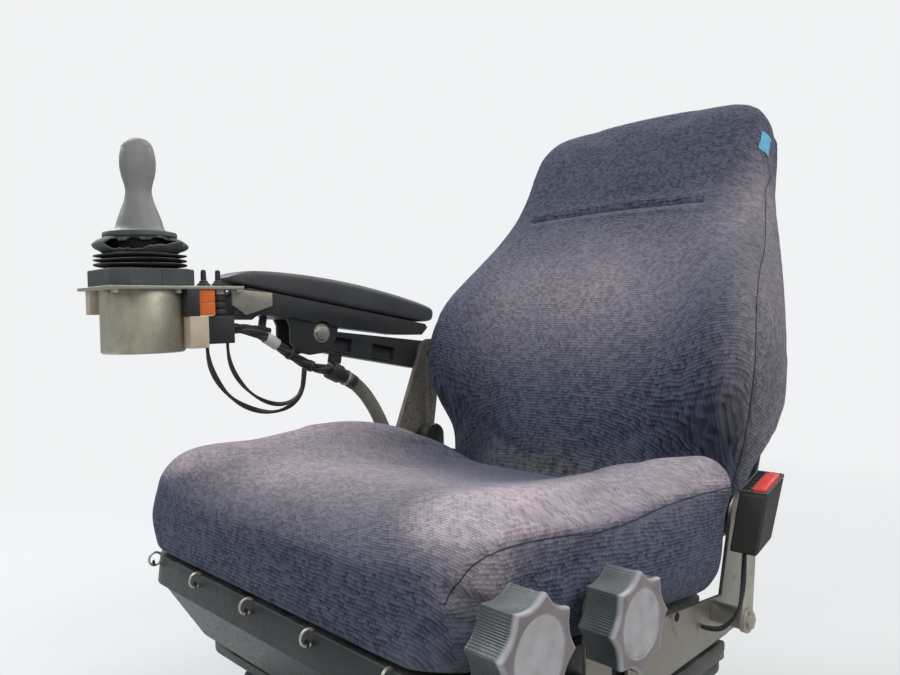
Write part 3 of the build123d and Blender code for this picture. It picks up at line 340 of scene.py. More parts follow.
class Finish:
    """A material's nodes, made by short calls that each give back an output."""

    def __init__(self, name, colour, rough, metal=0.0):
        self.material = bpy.data.materials.new(name)
        self.material.use_nodes = True
        self.tree = self.material.node_tree
        self.shader = self.tree.nodes["Principled BSDF"]
        self.shader.inputs["Base Color"].default_value = (*colour, 1)
        self.shader.inputs["Roughness"].default_value = rough
        self.shader.inputs["Metallic"].default_value = metal
        self.place = self.add("ShaderNodeTexCoord").outputs["Object"]

    def add(self, kind, **settings):
        node = self.tree.nodes.new(kind)
        for name, value in settings.items():
            setattr(node, name, value)
        return node

    def feed(self, node, socket, value):
        if isinstance(value, bpy.types.NodeSocket):
            self.tree.links.new(value, node.inputs[socket])
        elif isinstance(value, tuple) and len(value) == 3 and node.inputs[socket].type == "RGBA":
            node.inputs[socket].default_value = (*value, 1)
        else:
            node.inputs[socket].default_value = value

    def math(self, operation, first, second=0.0, clamp=False):
        node = self.add("ShaderNodeMath", operation=operation, use_clamp=clamp)
        self.feed(node, 0, first)
        self.feed(node, 1, second)
        return node.outputs[0]

    def times(self, first, second, clamp=False):
        return self.math("MULTIPLY", first, second, clamp)

    def stretched(self, place, scale):
        node = self.add("ShaderNodeMapping")
        self.feed(node, "Vector", place)
        self.feed(node, "Scale", scale)
        return node.outputs[0]

    def noise(self, scale, detail=3.0, place=None, rough=0.5):
        node = self.add("ShaderNodeTexNoise")
        self.feed(node, "Vector", place or self.place)
        self.feed(node, "Scale", scale)
        self.feed(node, "Detail", detail)
        self.feed(node, "Roughness", rough)
        return node.outputs["Fac"]

    def cells(self, scale, place=None, feature="F1", output="Distance"):
        node = self.add("ShaderNodeTexVoronoi", feature=feature)
        self.feed(node, "Vector", place or self.place)
        self.feed(node, "Scale", scale)
        return node.outputs[output]

    def level(self, value, low, high, to_low=0.0, to_high=1.0):
        node = self.add("ShaderNodeMapRange")
        for socket, number in zip(("From Min", "From Max", "To Min", "To Max"), (low, high, to_low, to_high)):
            self.feed(node, socket, number)
        self.feed(node, "Value", value)
        return node.outputs[0]

    def mix(self, share, first, second):
        node = self.add("ShaderNodeMix", data_type="RGBA")
        self.feed(node, 0, share)
        self.feed(node, 6, first)
        self.feed(node, 7, second)
        return node.outputs[2]

    def attribute(self, name):
        return self.add("ShaderNodeAttribute", attribute_name=name).outputs["Fac"]

    def facing_up(self, low=0.35, high=0.95):
        normal = self.add("ShaderNodeNewGeometry").outputs["Normal"]
        split = self.add("ShaderNodeSeparateXYZ")
        self.feed(split, 0, normal)
        return self.level(split.outputs[2], low, high)

    def rounded_edges(self, radius):
        """1 on an edge, 0 on a flat face: how far a rounded normal turns away from the true one."""
        rounded = self.add("ShaderNodeBevel", samples=4)
        rounded.inputs["Radius"].default_value = radius
        dot = self.add("ShaderNodeVectorMath", operation="DOT_PRODUCT")
        self.feed(dot, 0, rounded.outputs[0])
        self.feed(dot, 1, self.add("ShaderNodeNewGeometry").outputs["Normal"])
        return self.level(dot.outputs["Value"], 0.995, 0.85)

    def bump(self, height, distance, strength=1.0):
        node = self.add("ShaderNodeBump")
        self.feed(node, "Height", height)
        node.inputs["Distance"].default_value = distance
        node.inputs["Strength"].default_value = strength
        last = self.shader.inputs["Normal"]
        if last.is_linked:
            self.tree.links.new(last.links[0].from_socket, node.inputs["Normal"])
        self.tree.links.new(node.outputs[0], last)

    def colour(self, value):
        self.feed(self.shader, "Base Color", value)

    def rough(self, value):
        self.feed(self.shader, "Roughness", value)


def surface(name, colour, shade, rough, metal=0.0, patch=14, grain=700, grain_deep=0.00004,
            dust=0.0, dust_colour=(0.33, 0.31, 0.27), worn=0.0, worn_colour=(0.4, 0.4, 0.4)):
    """A hard finish: two close tones in patches, fine grain, dust where it faces up, and worn edges."""
    made = Finish(name, colour, rough, metal)
    patches = made.noise(patch, 5, rough=0.6)
    tone = made.mix(made.level(patches, 0.35, 0.65), colour, shade)
    if worn:
        torn = made.times(made.rounded_edges(1.2 * MM), made.level(made.noise(90, 4), 0.42, 0.6))
        tone = made.mix(made.times(torn, worn), tone, worn_colour)
    fine = made.noise(260, 4)
    if dust:
        settled_dust = made.times(made.facing_up(), made.level(made.noise(38, 5, rough=0.7), 0.3, 0.72))
        tone = made.mix(made.times(settled_dust, dust), tone, dust_colour)
    made.colour(tone)
    made.rough(made.level(fine, 0.3, 0.7, rough - 0.07, rough + 0.09))
    made.bump(made.noise(grain, 2), grain_deep)
    made.shader.inputs["Specular IOR Level"].default_value = 0.35
    return made


CLOTH_ROW = 3.1 * MM
CLOTH_STITCH = 4.4 * MM
CLOTH_DARK = (0.007, 0.010, 0.022)
CLOTH_LIGHT = (0.094, 0.107, 0.156)
CLOTH_WORN_AND_LIT = (0.60, 0.50, 0.53)
CLOTH_DUST = (0.30, 0.285, 0.25)


def seat_cloth():
    """Knitted cover: rows of short stitches of two close shades, worn pale and dusty in places, with painted
    top light in the pale spots and where it faces up.
    """
    made = Finish("seat_cloth", CLOTH_DARK, 0.92)
    made.shader.inputs["Sheen Weight"].default_value = 0.08
    made.shader.inputs["Sheen Roughness"].default_value = 0.4
    made.shader.inputs["Sheen Tint"].default_value = (0.85, 0.83, 0.88, 1)
    made.shader.inputs["Specular IOR Level"].default_value = 0.1
    weave = made.add("ShaderNodeUVMap", uv_map="weave").outputs[0]
    split = made.add("ShaderNodeSeparateXYZ")
    made.feed(split, 0, weave)
    drift = made.level(made.noise(60, 2), 0, 1, -0.7, 0.7)
    row = made.math("ADD", made.times(split.outputs[1], 1 / CLOTH_ROW), drift)
    row_number = made.math("FLOOR", row)
    shifted = made.times(made.math("MODULO", row_number, 2.0), 0.5)
    stitch = made.math("ADD", made.times(split.outputs[0], 1 / CLOTH_STITCH), shifted)
    stitch_number = made.math("FLOOR", stitch)
    cell = made.add("ShaderNodeCombineXYZ")
    made.feed(cell, 0, stitch_number)
    made.feed(cell, 1, row_number)
    shade = made.add("ShaderNodeTexWhiteNoise")
    made.feed(shade, "Vector", cell.outputs[0])
    row_wave = made.math("SINE", made.times(row, 2 * pi))
    stitch_wave = made.math("SINE", made.times(stitch, 2 * pi))
    knit = made.times(made.level(row_wave, -1, 1), made.level(stitch_wave, -1, 1, 0.35, 1))
    fleck = made.level(made.noise(1500, 2), 0.3, 0.7)
    lightness = made.math("ADD", made.times(shade.outputs["Value"], 0.55),
                          made.times(knit, 0.55))
    lightness = made.math("ADD", lightness, made.times(fleck, 0.25))
    broad = made.level(made.noise(7, 4), 0.3, 0.7, -0.12, 0.12)
    tone = made.mix(made.math("ADD", lightness, broad, clamp=True), CLOTH_DARK, CLOTH_LIGHT)
    # Pale tone from the worn attribute: wear, and painted top light where the covers are lit
    worn = made.times(made.attribute("worn"), made.level(made.noise(55, 5, rough=0.65), 0.25, 0.75, 0.6, 1.0))
    worn = made.times(worn, made.level(lightness, 0.1, 0.9, 0.45, 1.05), clamp=True)
    tone = made.mix(worn, tone, CLOTH_WORN_AND_LIT)
    dust = made.times(made.attribute("dusty"), made.level(made.noise(120, 5, rough=0.7), 0.35, 0.7))
    tone = made.mix(made.times(dust, 0.75, clamp=True), tone, CLOTH_DUST)
    specks = made.level(made.cells(95), 0.055, 0.03)
    specks = made.times(specks, made.level(made.noise(16, 2), 0.52, 0.6))
    # Painted top light, partly dust: cloth that faces up is mixed towards a pale tone
    tone = made.mix(made.times(made.facing_up(), 0.07), tone, (0.48, 0.43, 0.45))
    made.colour(made.mix(made.times(specks, 0.55), tone, (0.62, 0.62, 0.6)))
    made.bump(made.math("ADD", knit, made.times(fleck, 0.35)), 0.35 * MM, 0.9)
    return made.material


def knob_plastic():
    made = surface("knob_plastic", (0.045, 0.055, 0.058), (0.075, 0.085, 0.087), 0.42, patch=22, grain=900,
                   dust=0.3, dust_colour=(0.26, 0.27, 0.26))
    side = made.shader.inputs["Base Color"].links[0].from_socket
    # Painted light: the face paler than the darker ribbed sides, with dust on it
    face = made.mix(made.level(made.noise(30, 4), 0.35, 0.65), (0.19, 0.165, 0.17), (0.135, 0.12, 0.125))
    tone = made.mix(made.attribute("face"), side, face)
    # The rim painted pale: wear and a painted highlight
    rubbed_and_lit = made.times(made.attribute("rim"), made.level(made.noise(70, 4), 0.3, 0.6, 0.55, 1.0))
    made.colour(made.mix(rubbed_and_lit, tone, (0.42, 0.42, 0.44)))
    return made.material


def zinc(name, colour=(0.43, 0.415, 0.35), spangle=46, rust=0.45):
    """Zinc plate, dulled in patches, with a faint spangle and a little brown here and there."""
    made = Finish(name, colour, 0.45, 0.75)
    grains = made.cells(spangle, output="Color")
    grey = made.add("ShaderNodeSeparateColor")
    made.feed(grey, 0, grains)
    tone = made.mix(made.level(grey.outputs[0], 0, 1, 0.0, 0.35), colour, tuple(c * 0.72 for c in colour))
    dull = made.level(made.noise(24, 6, rough=0.7), 0.35, 0.7)
    tone = made.mix(made.times(dull, 0.6), tone, (0.30, 0.285, 0.24))
    brown = made.level(made.noise(62, 6, rough=0.75), 0.58, 0.72)
    tone = made.mix(made.times(brown, rust), tone, (0.13, 0.075, 0.04))
    made.colour(tone)
    made.rough(made.level(dull, 0, 1, 0.34, 0.62))
    made.bump(made.noise(420, 3), 0.00005)
    return made.material


def stained_steel():
    """The upright's old paint: grey brown, streaked, speckled with rust and dirt."""
    made = Finish("stained_steel", (0.16, 0.145, 0.12), 0.62, 0.15)
    streaks = made.noise(1, 5, place=made.stretched(made.place, (30, 30, 9)), rough=0.7)
    tone = made.mix(made.level(streaks, 0.35, 0.65), (0.225, 0.205, 0.175), (0.11, 0.095, 0.078))
    rust = made.level(made.noise(130, 5, rough=0.7), 0.55, 0.66)
    tone = made.mix(made.times(rust, 0.75), tone, (0.075, 0.042, 0.025))
    pale = made.level(made.noise(210, 3), 0.62, 0.7)
    made.colour(made.mix(made.times(pale, 0.6), tone, (0.42, 0.40, 0.36)))
    made.rough(made.level(streaks, 0.3, 0.7, 0.5, 0.75))
    made.bump(rust, 0.0002, 0.6)
    return made.material


def cast_can():
    """Dull cast can: mottled light and dark, fine sandy skin."""
    made = Finish("cast_can", (0.42, 0.41, 0.34), 0.5, 0.7)
    place = made.stretched(made.place, (1, 1, 0.55))
    clouds = made.level(made.noise(17, 5, place=place, rough=0.65), 0.32, 0.68)
    tone = made.mix(clouds, (0.52, 0.51, 0.40), (0.27, 0.25, 0.195))
    spots = made.level(made.noise(150, 4), 0.6, 0.72)
    made.colour(made.mix(made.times(spots, 0.22), tone, (0.14, 0.12, 0.09)))
    made.rough(made.level(clouds, 0, 1, 0.36, 0.58))
    made.bump(made.noise(650, 3), 0.00007)
    return made.material


CABLE = surface("cable_sheath", (0.018, 0.018, 0.02), (0.03, 0.03, 0.031), 0.5, patch=60, dust=0.35).material
CONDUIT = surface("conduit_loom", (0.085, 0.079, 0.066), (0.15, 0.14, 0.118), 0.8, patch=48, grain=500,
                  grain_deep=0.0002, dust=0.5).material
BLACK = surface("black_plastic", (0.020, 0.022, 0.024), (0.031, 0.033, 0.035), 0.46, dust=0.22, worn=0.25,
                worn_colour=(0.12, 0.12, 0.12)).material
HUSK = surface("buckle_plastic", (0.017, 0.016, 0.015), (0.024, 0.022, 0.02), 0.5, dust=0.12).material
SKIN = surface("armrest_skin", (0.040, 0.043, 0.047), (0.058, 0.061, 0.064), 0.52, patch=10, grain=520,
               grain_deep=0.00011, dust=0.3).material
RUBBER = surface("bellows_rubber", (0.022, 0.023, 0.025), (0.036, 0.037, 0.039), 0.7, patch=20,
                 dust=0.5).material
STEEL = surface("black_steel", (0.022, 0.024, 0.024), (0.038, 0.041, 0.038), 0.4, patch=16, dust=0.3,
                worn=0.7, worn_colour=(0.24, 0.23, 0.21)).material
FLANGE = surface("dusty_steel", (0.011, 0.014, 0.016), (0.028, 0.034, 0.033), 0.42, patch=8, dust=0.3,
                 worn=0.5, worn_colour=(0.16, 0.17, 0.16)).material
RED = surface("red_button", (0.62, 0.035, 0.03), (0.50, 0.03, 0.028), 0.38, patch=40, dust=0.18).material
ORANGE = surface("orange_block", (0.70, 0.17, 0.03), (0.60, 0.13, 0.022), 0.5, patch=50, dust=0.2).material
BEIGE = surface("beige_relay", (0.56, 0.47, 0.36), (0.46, 0.38, 0.29), 0.55, patch=30, dust=0.2).material
GREY = surface("grey_plastic", (0.17, 0.175, 0.17), (0.23, 0.235, 0.225), 0.5, patch=24, dust=0.3).material
DIM = surface("dim_plastic", (0.048, 0.055, 0.057), (0.072, 0.080, 0.081), 0.5, patch=18, dust=0.25, worn=0.3,
              worn_colour=(0.2, 0.2, 0.2)).material
CUFF = surface("torn_rubber", (0.065, 0.073, 0.073), (0.12, 0.13, 0.125), 0.75, patch=26, dust=0.35).material
# Near black: painted shade in holes and inside the torn cuff, and a dark joint line on the collar
DARK_JOINT_AND_HOLE_SHADE = surface("dark_joint_and_hole_shade", (0.004, 0.004, 0.004), (0.006, 0.006, 0.006), 0.9).material
TAG = surface("blue_tag", (0.10, 0.33, 0.52), (0.15, 0.42, 0.60), 0.7, patch=90).material
WHITE = surface("white_sleeve", (0.56, 0.54, 0.53), (0.42, 0.40, 0.39), 0.6, patch=60).material
THREAD = surface("seam_thread", (0.022, 0.022, 0.036), (0.04, 0.04, 0.06), 0.9, patch=120).material
CLOTH = seat_cloth()
KNOB = knob_plastic()
ZINC = zinc("zinc_plate")
GALVANISED = zinc("galvanised_side", (0.24, 0.23, 0.20), spangle=30, rust=0.8)
RINGS = zinc("ring_wire", (0.58, 0.56, 0.47), rust=0.2)
UPRIGHT = stained_steel()
CAN = cast_can()


# Sleeves, tape and clips round the cords: from y, to y, how far they stand off, finish
WRAPS = {
    "harness_cables": ((-49, -30, 0.8, WHITE), (-13, -7, 0.9, BLACK), (21, 27, 0.9, BLACK)),
    "conduit_hose": ((75, 84, 0.7, BLACK), (86, 88.5, 1.6, ZINC), (92, 101, 0.6, BLACK)),
}


# Cords: name, CAD node, route, radius, outline, step along it, finish, slot, first and last body, stiffness
CORDS = (
    ("harness_cables", "harness_bundle", BUNDLE_ROUTE, BUNDLE_R, stranded(BUNDLE_R, 4), CORD_STEP,
     CABLE, "cable_black", "armrest", "arm", "medium"),
    ("harness_long_loop", "harness_loop", LOOP_ROUTE, LOOP_R, stranded(LOOP_R, 2), CORD_STEP,
     CABLE, "cable_black", "armrest", "arm", "medium"),
    ("harness_short_loop", "harness_spur", SPUR_ROUTE, SPUR_R, stranded(SPUR_R, 2), CORD_STEP,
     CABLE, "cable_black", "armrest", "arm", "medium"),
    ("conduit_hose", "cable_conduit", CONDUIT_ROUTE, CONDUIT_R, ribbed(CONDUIT_R), CONDUIT_RIB / 6,
     CONDUIT, "conduit_sheath", "arm", "seat", "stiff"),
    ("buckle_lead", "buckle_wire", WIRE_ROUTE, WIRE_R, stranded(WIRE_R, 2), CORD_STEP,
     CABLE, "cable_black", "seat", None, "limp"),
)


def cords():
    """The harness, the conduit and the buckle's wire, each on its route's smooth line."""
    for name, node, route, radius, outline, step, made, slot, near, far, stiffness in CORDS:
        line = evenly(route_line(route), step)
        wraps = [tube("wrap", [point for point in line if low * MM <= point.y <= high * MM],
                      lambda distance, angle, reach=radius + more * MM: reach, finish)
                 for low, high, more, finish in WRAPS.get(name, ())]
        cord = joined_piece(name, [tube(name, line, outline, made)] + wraps)
        if far:
            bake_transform(cord)
        else:
            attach(cord, near)
        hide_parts(node)
        line_length(line)


aim_camera()
cords()


# Seat cover, in millimetres over the pan: tables of (along the pan, height)
COVER_HALF = 240
COVER_FROM, COVER_TO, COVER_MIDDLE = -12, 393, 205
COVER_FRONT_CORNER, COVER_REAR_CORNER = 46, 34
LEFT_CREST = [(-12, 78), (4, 90), (40, 108), (73, 112), (122, 111), (176, 112), (240, 116), (300, 124),
              (350, 133), (401, 141)]
RIGHT_CREST = [(-12, 86), (7, 99), (18, 104), (47, 108), (96, 111), (121, 116), (148, 123), (176, 130),
               (236, 136), (304, 132), (341, 122), (401, 106)]
SEAM_START = [(226, 2, 58), (230, 8, 72), (235, 16, 84)]
SIDE_SEAM = [(-12, 66), (6, 84), (20, 89), (60, 93), (110, 93), (160, 91), (200, 94), (250, 102), (300, 107),
             (350, 110), (401, 113)]
MIDDLE = [(-12, 84), (30, 97), (120, 100), (240, 95), (330, 92), (401, 90)]
FRONT_EDGE, CORNER_EDGE, REAR_EDGE = 58, 74, 80
CORNER_FROM_TO, CREST_FROM_TO = (120, 205), (62, 186)      # across, from the middle
ROUND_SIDE, ROUND_FRONT, ROUND_LESS_REAR = 34, 36, 12
SEAM_FROM, SEAM_TO, SEAM_STEP = 28, 388, 12
FOOT_IN_SIDE, FOOT_IN_FRONT, FOOT_HIGH, FOOT_LIFT = 20, 8, 40, 0.6
SIDE_BULGE = 3.5
REAR_LEAN = -0.1228     # the rear wall stands upright, as the pan tips back
# Shares of the way from the middle to the outline, and of a wall's height
SEAT_TOP_RINGS = (0.12, 0.24, 0.36, 0.48, 0.58, 0.66, 0.73, 0.79, 0.84, 0.88, 0.915, 0.945, 0.97, 0.988, 1.0)
SEAT_WALL_RINGS = (0.86, 0.7, 0.54, 0.38, 0.24, 0.12, 0.0)
VOXEL = 6 * MM
SWELL_IN = 2.5          # how much smaller the shape starts before it swells
SWELL_PRESSURE, SWELL_FRAMES = 4, 20
# Folds: from, to, depth, width
SEAT_FOLDS = (
    ((-150, 386, 120), (-168, 240, 130), 3.2, 7), ((-120, 392, 112), (-128, 270, 112), 2.8, 6),
    ((-182, 384, 122), (-196, 280, 134), 2.6, 6), ((-90, 396, 100), (-92, 300, 98), 2.2, 6),
    ((236, 22, 52), (222, -2, 66), 5.5, 5), ((240, 30, 50), (241, 74, 62), 4.0, 6),
    ((238, 24, 46), (238, 60, 28), 3.6, 6), ((234, 10, 44), (206, -12, 30), 2.8, 6),
    ((242, 130, 40), (242, 178, 66), 2.0, 7), ((150, 388, 112), (176, 270, 128), 1.4, 7),
)
# Soft dents: centre, reach, depth, which is negative for a swelling
SEAT_DENTS = (((236, 18, 50), 14, 7), ((242, 250, 90), 60, -3), ((238, 392, 114), 28, -17),
              ((214, 392, 134), 30, -7))
# Pale spots of wear and painted top light, and dusty spots: centre, reach in x, y and z, amount
SEAT_WORN_AND_LIT = (
    ((200, 70, 116), (60, 110, 26), 0.34), ((215, 330, 130), (60, 110, 30), 0.16),
    ((60, 110, 102), (150, 90, 24), 0.46), ((-70, 150, 104), (110, 110, 30), 0.42),
    ((236, 18, 74), (24, 34, 22), 0.50), ((-190, 90, 116), (70, 120, 28), 0.30),
    ((-85, 60, 104), (80, 60, 28), 0.36),
)
SEAT_DUSTY = (((0, 392, 92), (190, 16, 16), 0.75), ((220, 6, 4), (34, 30, 16), 0.7),
              ((236, 24, 52), (20, 20, 20), 0.3))
RUBBED_AND_LIT_LEFT, RUBBED_AND_LIT_RIGHT = 0.52, 0.60      # how pale the side rolls are above their seams: wear and painted top light


def rounded_outline(half, low, high, low_corner, high_corner, step=9):
    """Points and outward directions round a rectangle with rounded corners."""
    corners = ((half - low_corner, low + low_corner, low_corner, -pi / 2),
               (half - high_corner, high - high_corner, high_corner, 0),
               (high_corner - half, high - high_corner, high_corner, pi / 2),
               (low_corner - half, low + low_corner, low_corner, pi))
    found = []
    for k, (x, y, radius, start) in enumerate(corners):
        for i in range(9):
            angle = start + pi / 2 * i / 8
            found.append((Vector((x + radius * cos(angle), y + radius * sin(angle))),
                          Vector((cos(angle), sin(angle)))))
        next_x, next_y, next_radius, next_start = corners[(k + 1) % 4]
        end = Vector((next_x + next_radius * cos(next_start), next_y + next_radius * sin(next_start)))
        begin, outward = found[-1]
        count = max(2, int((end - begin).length / step))
        for i in range(1, count):
            found.append((begin.lerp(end, i / count), outward))
    return found


# Lines drawn on a cover, and the threads of its seams, in metres
LINE_STEP, LINE_SMOOTHINGS, RAY_BACK = 3 * MM, 10, 0.1
THREAD_R, THREAD_LIFT, THREAD_SIDES = 0.5 * MM, 0.1 * MM, 8


def seat_cover_form():
    """The cover's shape before it swells: a crowned top with side rolls, rounded front, walls and foot."""
    outline = rounded_outline(COVER_HALF, COVER_FROM, COVER_TO, COVER_FRONT_CORNER, COVER_REAR_CORNER)
    centre = Vector((0, COVER_MIDDLE))

    def edge_height(point, outward):
        side = reading(SIDE_SEAM, point.y)
        front, rear = eased(-outward.y, 0.1, 0.85), eased(outward.y, 0.3, 0.95)
        low = FRONT_EDGE + (CORNER_EDGE - FRONT_EDGE) * eased(abs(point.x), *CORNER_FROM_TO)
        return side * (1 - front) * (1 - rear) + low * front + REAR_EDGE * rear

    def top_height(point):
        spread = eased(abs(point.x), *CREST_FROM_TO)
        crest = reading(LEFT_CREST if point.x > 0 else RIGHT_CREST, point.y)
        return reading(MIDDLE, point.y) * (1 - spread) + crest * spread

    def round_over(point, outward):
        front = ROUND_FRONT * eased(-outward.y, 0.2, 0.95) * (1 - eased(abs(point.x), 110, 205))
        return ROUND_SIDE + front - ROUND_LESS_REAR * eased(outward.y, 0.2, 0.8) * eased(point.x, 150, 220)

    def top_point(share, point, outward):
        at = centre.lerp(point, share)
        inset = (point - at).dot(outward)
        over = max(0.0, 1 - inset / round_over(point, outward))
        edge = edge_height(point, outward)
        height = edge + (top_height(at) - edge) * sqrt(max(0.0, 1 - over * over))
        return seat_point(at.x, at.y - inset * 0.02, height)

    def wall_point(share, point, outward):
        height = edge_height(point, outward) * share
        tuck = max(0.0, 1 - height / FOOT_HIGH)**2
        foot = FOOT_IN_SIDE * abs(outward.x) + FOOT_IN_FRONT * max(0.0, -outward.y)
        bulge = SIDE_BULGE * sin(pi * min(1.0, share)) * abs(outward.x)
        at = point - outward * (foot * tuck - bulge)
        lean = REAR_LEAN * height * max(0.0, outward.y) * (1 - eased(abs(point.x), 200, 232))
        return seat_point(at.x, at.y + lean, max(height, FOOT_LIFT))

    rings = [[top_point(share, *pair) for pair in outline] for share in SEAT_TOP_RINGS]
    rings += [[wall_point(share, *pair) for pair in outline] for share in SEAT_WALL_RINGS]
    crown, foot = (seat_point(0, centre.y, high) for high in (reading(MIDDLE, centre.y), FOOT_LIFT))
    return rings_mesh("seat_cover", rings, CLOTH, first_pole=crown, last_pole=foot)


def shrunk(piece, amount):
    normals = [vertex.normal.copy() for vertex in piece.data.vertices]
    for vertex, normal in zip(piece.data.vertices, normals):
        vertex.co -= normal * amount
    return piece


def swollen(piece, held, cap):
    """Swells a stuffed cover like cloth under pressure, from a voxel mesh, with held points kept in place."""
    remesh = piece.modifiers.new("even mesh", "REMESH")
    remesh.mode = "VOXEL"
    remesh.voxel_size = VOXEL
    settled(piece)
    piece.data.materials.clear()
    piece.data.materials.append(CLOTH)
    rest = [vertex.co.copy() for vertex in piece.data.vertices]
    group = piece.vertex_groups.new(name="held")
    group.add([vertex.index for vertex in piece.data.vertices if held(vertex)], 1.0, "REPLACE")
    cloth = piece.modifiers.new("swelling", "CLOTH")
    cloth.settings.use_pressure = True
    cloth.settings.uniform_pressure_force = SWELL_PRESSURE
    cloth.settings.vertex_group_mass = "held"
    cloth.settings.effector_weights.gravity = 0
    cloth.point_cache.frame_end = SWELL_FRAMES
    for number in range(1, SWELL_FRAMES + 1):
        SCENE.frame_set(number)
    settled(piece)
    SCENE.frame_set(1)
    for vertex, start in zip(piece.data.vertices, rest):
        moved = vertex.co - start
        if moved.length > cap:
            vertex.co = start + moved * (cap / moved.length)
    piece.vertex_groups.clear()
    smooth = piece.modifiers.new("even skin", "SMOOTH")
    smooth.factor = 0.5
    smooth.iterations = 6
    settled(piece)
    subdivided(piece, 1)
    piece.data.polygons.foreach_set("use_smooth", [True] * len(piece.data.polygons))
    return piece


def drawn_line(points, cover, lift=0.0, towards=None):
    """A smoothed line on a cover's skin, nearest to some points or seen past them in one direction."""
    tree = BVHTree.FromObject(cover, bpy.context.evaluated_depsgraph_get())
    line = []
    for point in evenly(points, LINE_STEP):
        place = None
        if towards:
            place = tree.ray_cast(point - towards * RAY_BACK, towards, 2 * RAY_BACK)[0]
        if place is None:
            place = tree.find_nearest(point)[0]
        line.append(place)
    for _ in range(LINE_SMOOTHINGS):
        line = [line[0]] + [(a + b * 2 + c) / 4 for a, b, c in zip(line, line[1:], line[2:])] + [line[-1]]
    return [place + normal * lift for place, normal, _, _ in map(tree.find_nearest, line)]


def skin(cover):
    """A cover's points and their normals, as arrays."""
    vertices = cover.data.vertices
    return np.array([vertex.co for vertex in vertices]), np.array([vertex.normal for vertex in vertices])


def reshape(cover, place):
    cover.data.vertices.foreach_set("co", place.astype(np.float32).ravel())
    cover.data.update()


def press(cover, line, deep, wide, lip=0.0):
    """Sinks a groove into a cover along a line, with a low lip on both sides."""
    place, normals = skin(cover)
    route = np.array(line)
    low, high = route.min(0) - 6 * wide, route.max(0) + 6 * wide
    near = np.where(((place > low) & (place < high)).all(1))[0]
    gaps = np.sqrt(((place[near][:, None, :] - route[None, :, :])**2).sum(2)).min(1)
    sunk = deep * np.exp(-(gaps / wide)**2) - lip * np.exp(-((gaps - 2.4 * wide) / wide)**2)
    place[near] -= normals[near] * sunk[:, None]
    reshape(cover, place)


def dent(cover, centre, reach, deep):
    """Sinks or, for a negative depth, raises a soft round dent."""
    place, normals = skin(cover)
    gaps = ((place - np.array(centre))**2).sum(1) / reach**2
    place -= normals * (deep * np.exp(-gaps))[:, None]
    reshape(cover, place)


def set_values(piece, name, values):
    """A named value at each point of a piece, which its material reads."""
    layer = piece.data.attributes.new(name, "FLOAT", "POINT")
    layer.data.foreach_set("value", values.astype(np.float32))


def paint(cover, name, spots, point, start=None):
    """The sum of soft spots at each point of a cover, each as (centre, (reach x, y, z), amount)."""
    place = skin(cover)[0]
    values = np.zeros(len(place)) if start is None else start
    for centre, reach, amount in spots:
        gap = (place - np.array(point(*centre))) / (np.array(reach) * MM)
        values += amount * np.exp(-(gap**2).sum(1))
    set_values(cover, name, np.clip(values, 0, 1))


def lay_weave(cover, coordinates):
    """The cover's own weave map, from a function of a face's centre and normal and a corner's place."""
    mesh = cover.data
    layer = mesh.uv_layers.new(name="weave")
    for face in mesh.polygons:
        panel = coordinates(face.center, face.normal)
        for corner in face.loop_indices:
            layer.data[corner].uv = panel(mesh.vertices[mesh.loops[corner].vertex_index].co)


def over_pan(place):
    """Across, along and above the pan, in millimetres, of a point in metres."""
    y, z = place.y / MM - PAN_FRONT_Y, place.z / MM - PAN_FRONT_Z
    return place.x / MM, y * cos(PAN_TILT) - z * sin(PAN_TILT), y * sin(PAN_TILT) + z * cos(PAN_TILT)


def over_back(place):
    """Across, along and out of the backrest's front, in millimetres, of a point in metres."""
    y, z = place.y / MM - CREASE_Y, place.z / MM - CREASE_Z
    return place.x / MM, y * sin(RECLINE) + z * cos(RECLINE), z * sin(RECLINE) - y * cos(RECLINE)


def seat_weave(centre, normal):
    side = abs(normal.x) > 0.72 and abs(centre.x) > 0.2

    def panel(place):
        across, along, high = over_pan(place)
        return (along * MM, high * MM) if side else (across * MM, (along + high) * MM)
    return panel


def back_weave(centre, normal):
    def panel(place):
        across, along, out = over_back(place)
        front = abs(normal.x) < 0.72
        return (across * MM, (along - out) * MM) if front else (out * MM, along * MM)
    return panel


class GrowingTree:
    """A geometry tree of one shape at a line's points: line, named sizes and material in, real mesh out."""

    def __init__(self, name, mode, **sizes):
        self.tree = bpy.data.node_groups.new(name, "GeometryNodeTree")
        self.socket("Line", "INPUT", "Geometry")
        for size, value in sizes.items():
            self.socket(size, "INPUT", "Float").default_value = value
        self.socket("Finish", "INPUT", "Material")
        self.socket("Shapes", "OUTPUT", "Geometry")
        self.given, result = self.add("NodeGroupInput"), self.add("NodeGroupOutput")
        self.spots = self.add("GeometryNodeCurveToPoints")
        self.spots.mode = mode
        self.shapes = self.add("GeometryNodeInstanceOnPoints")
        real, dressed = self.add("GeometryNodeRealizeInstances"), self.add("GeometryNodeSetMaterial")
        self.join((self.given, "Line", self.spots, "Curve"), (self.spots, "Points", self.shapes, "Points"),
                  (self.shapes, 0, real, 0), (real, 0, dressed, "Geometry"),
                  (self.given, "Finish", dressed, "Material"), (dressed, 0, result, 0))

    def socket(self, name, way, kind):
        return self.tree.interface.new_socket(name, in_out=way, socket_type=f"NodeSocket{kind}")

    def add(self, kind, operation=None, **values):
        node = self.tree.nodes.new(kind)
        if operation:
            node.operation = operation
        for name, value in values.items():
            node.inputs[name.replace("_", " ")].default_value = value
        return node

    def join(self, *links):
        for start, output, end, socket in links:
            self.tree.links.new(start.outputs[output], end.inputs[socket])


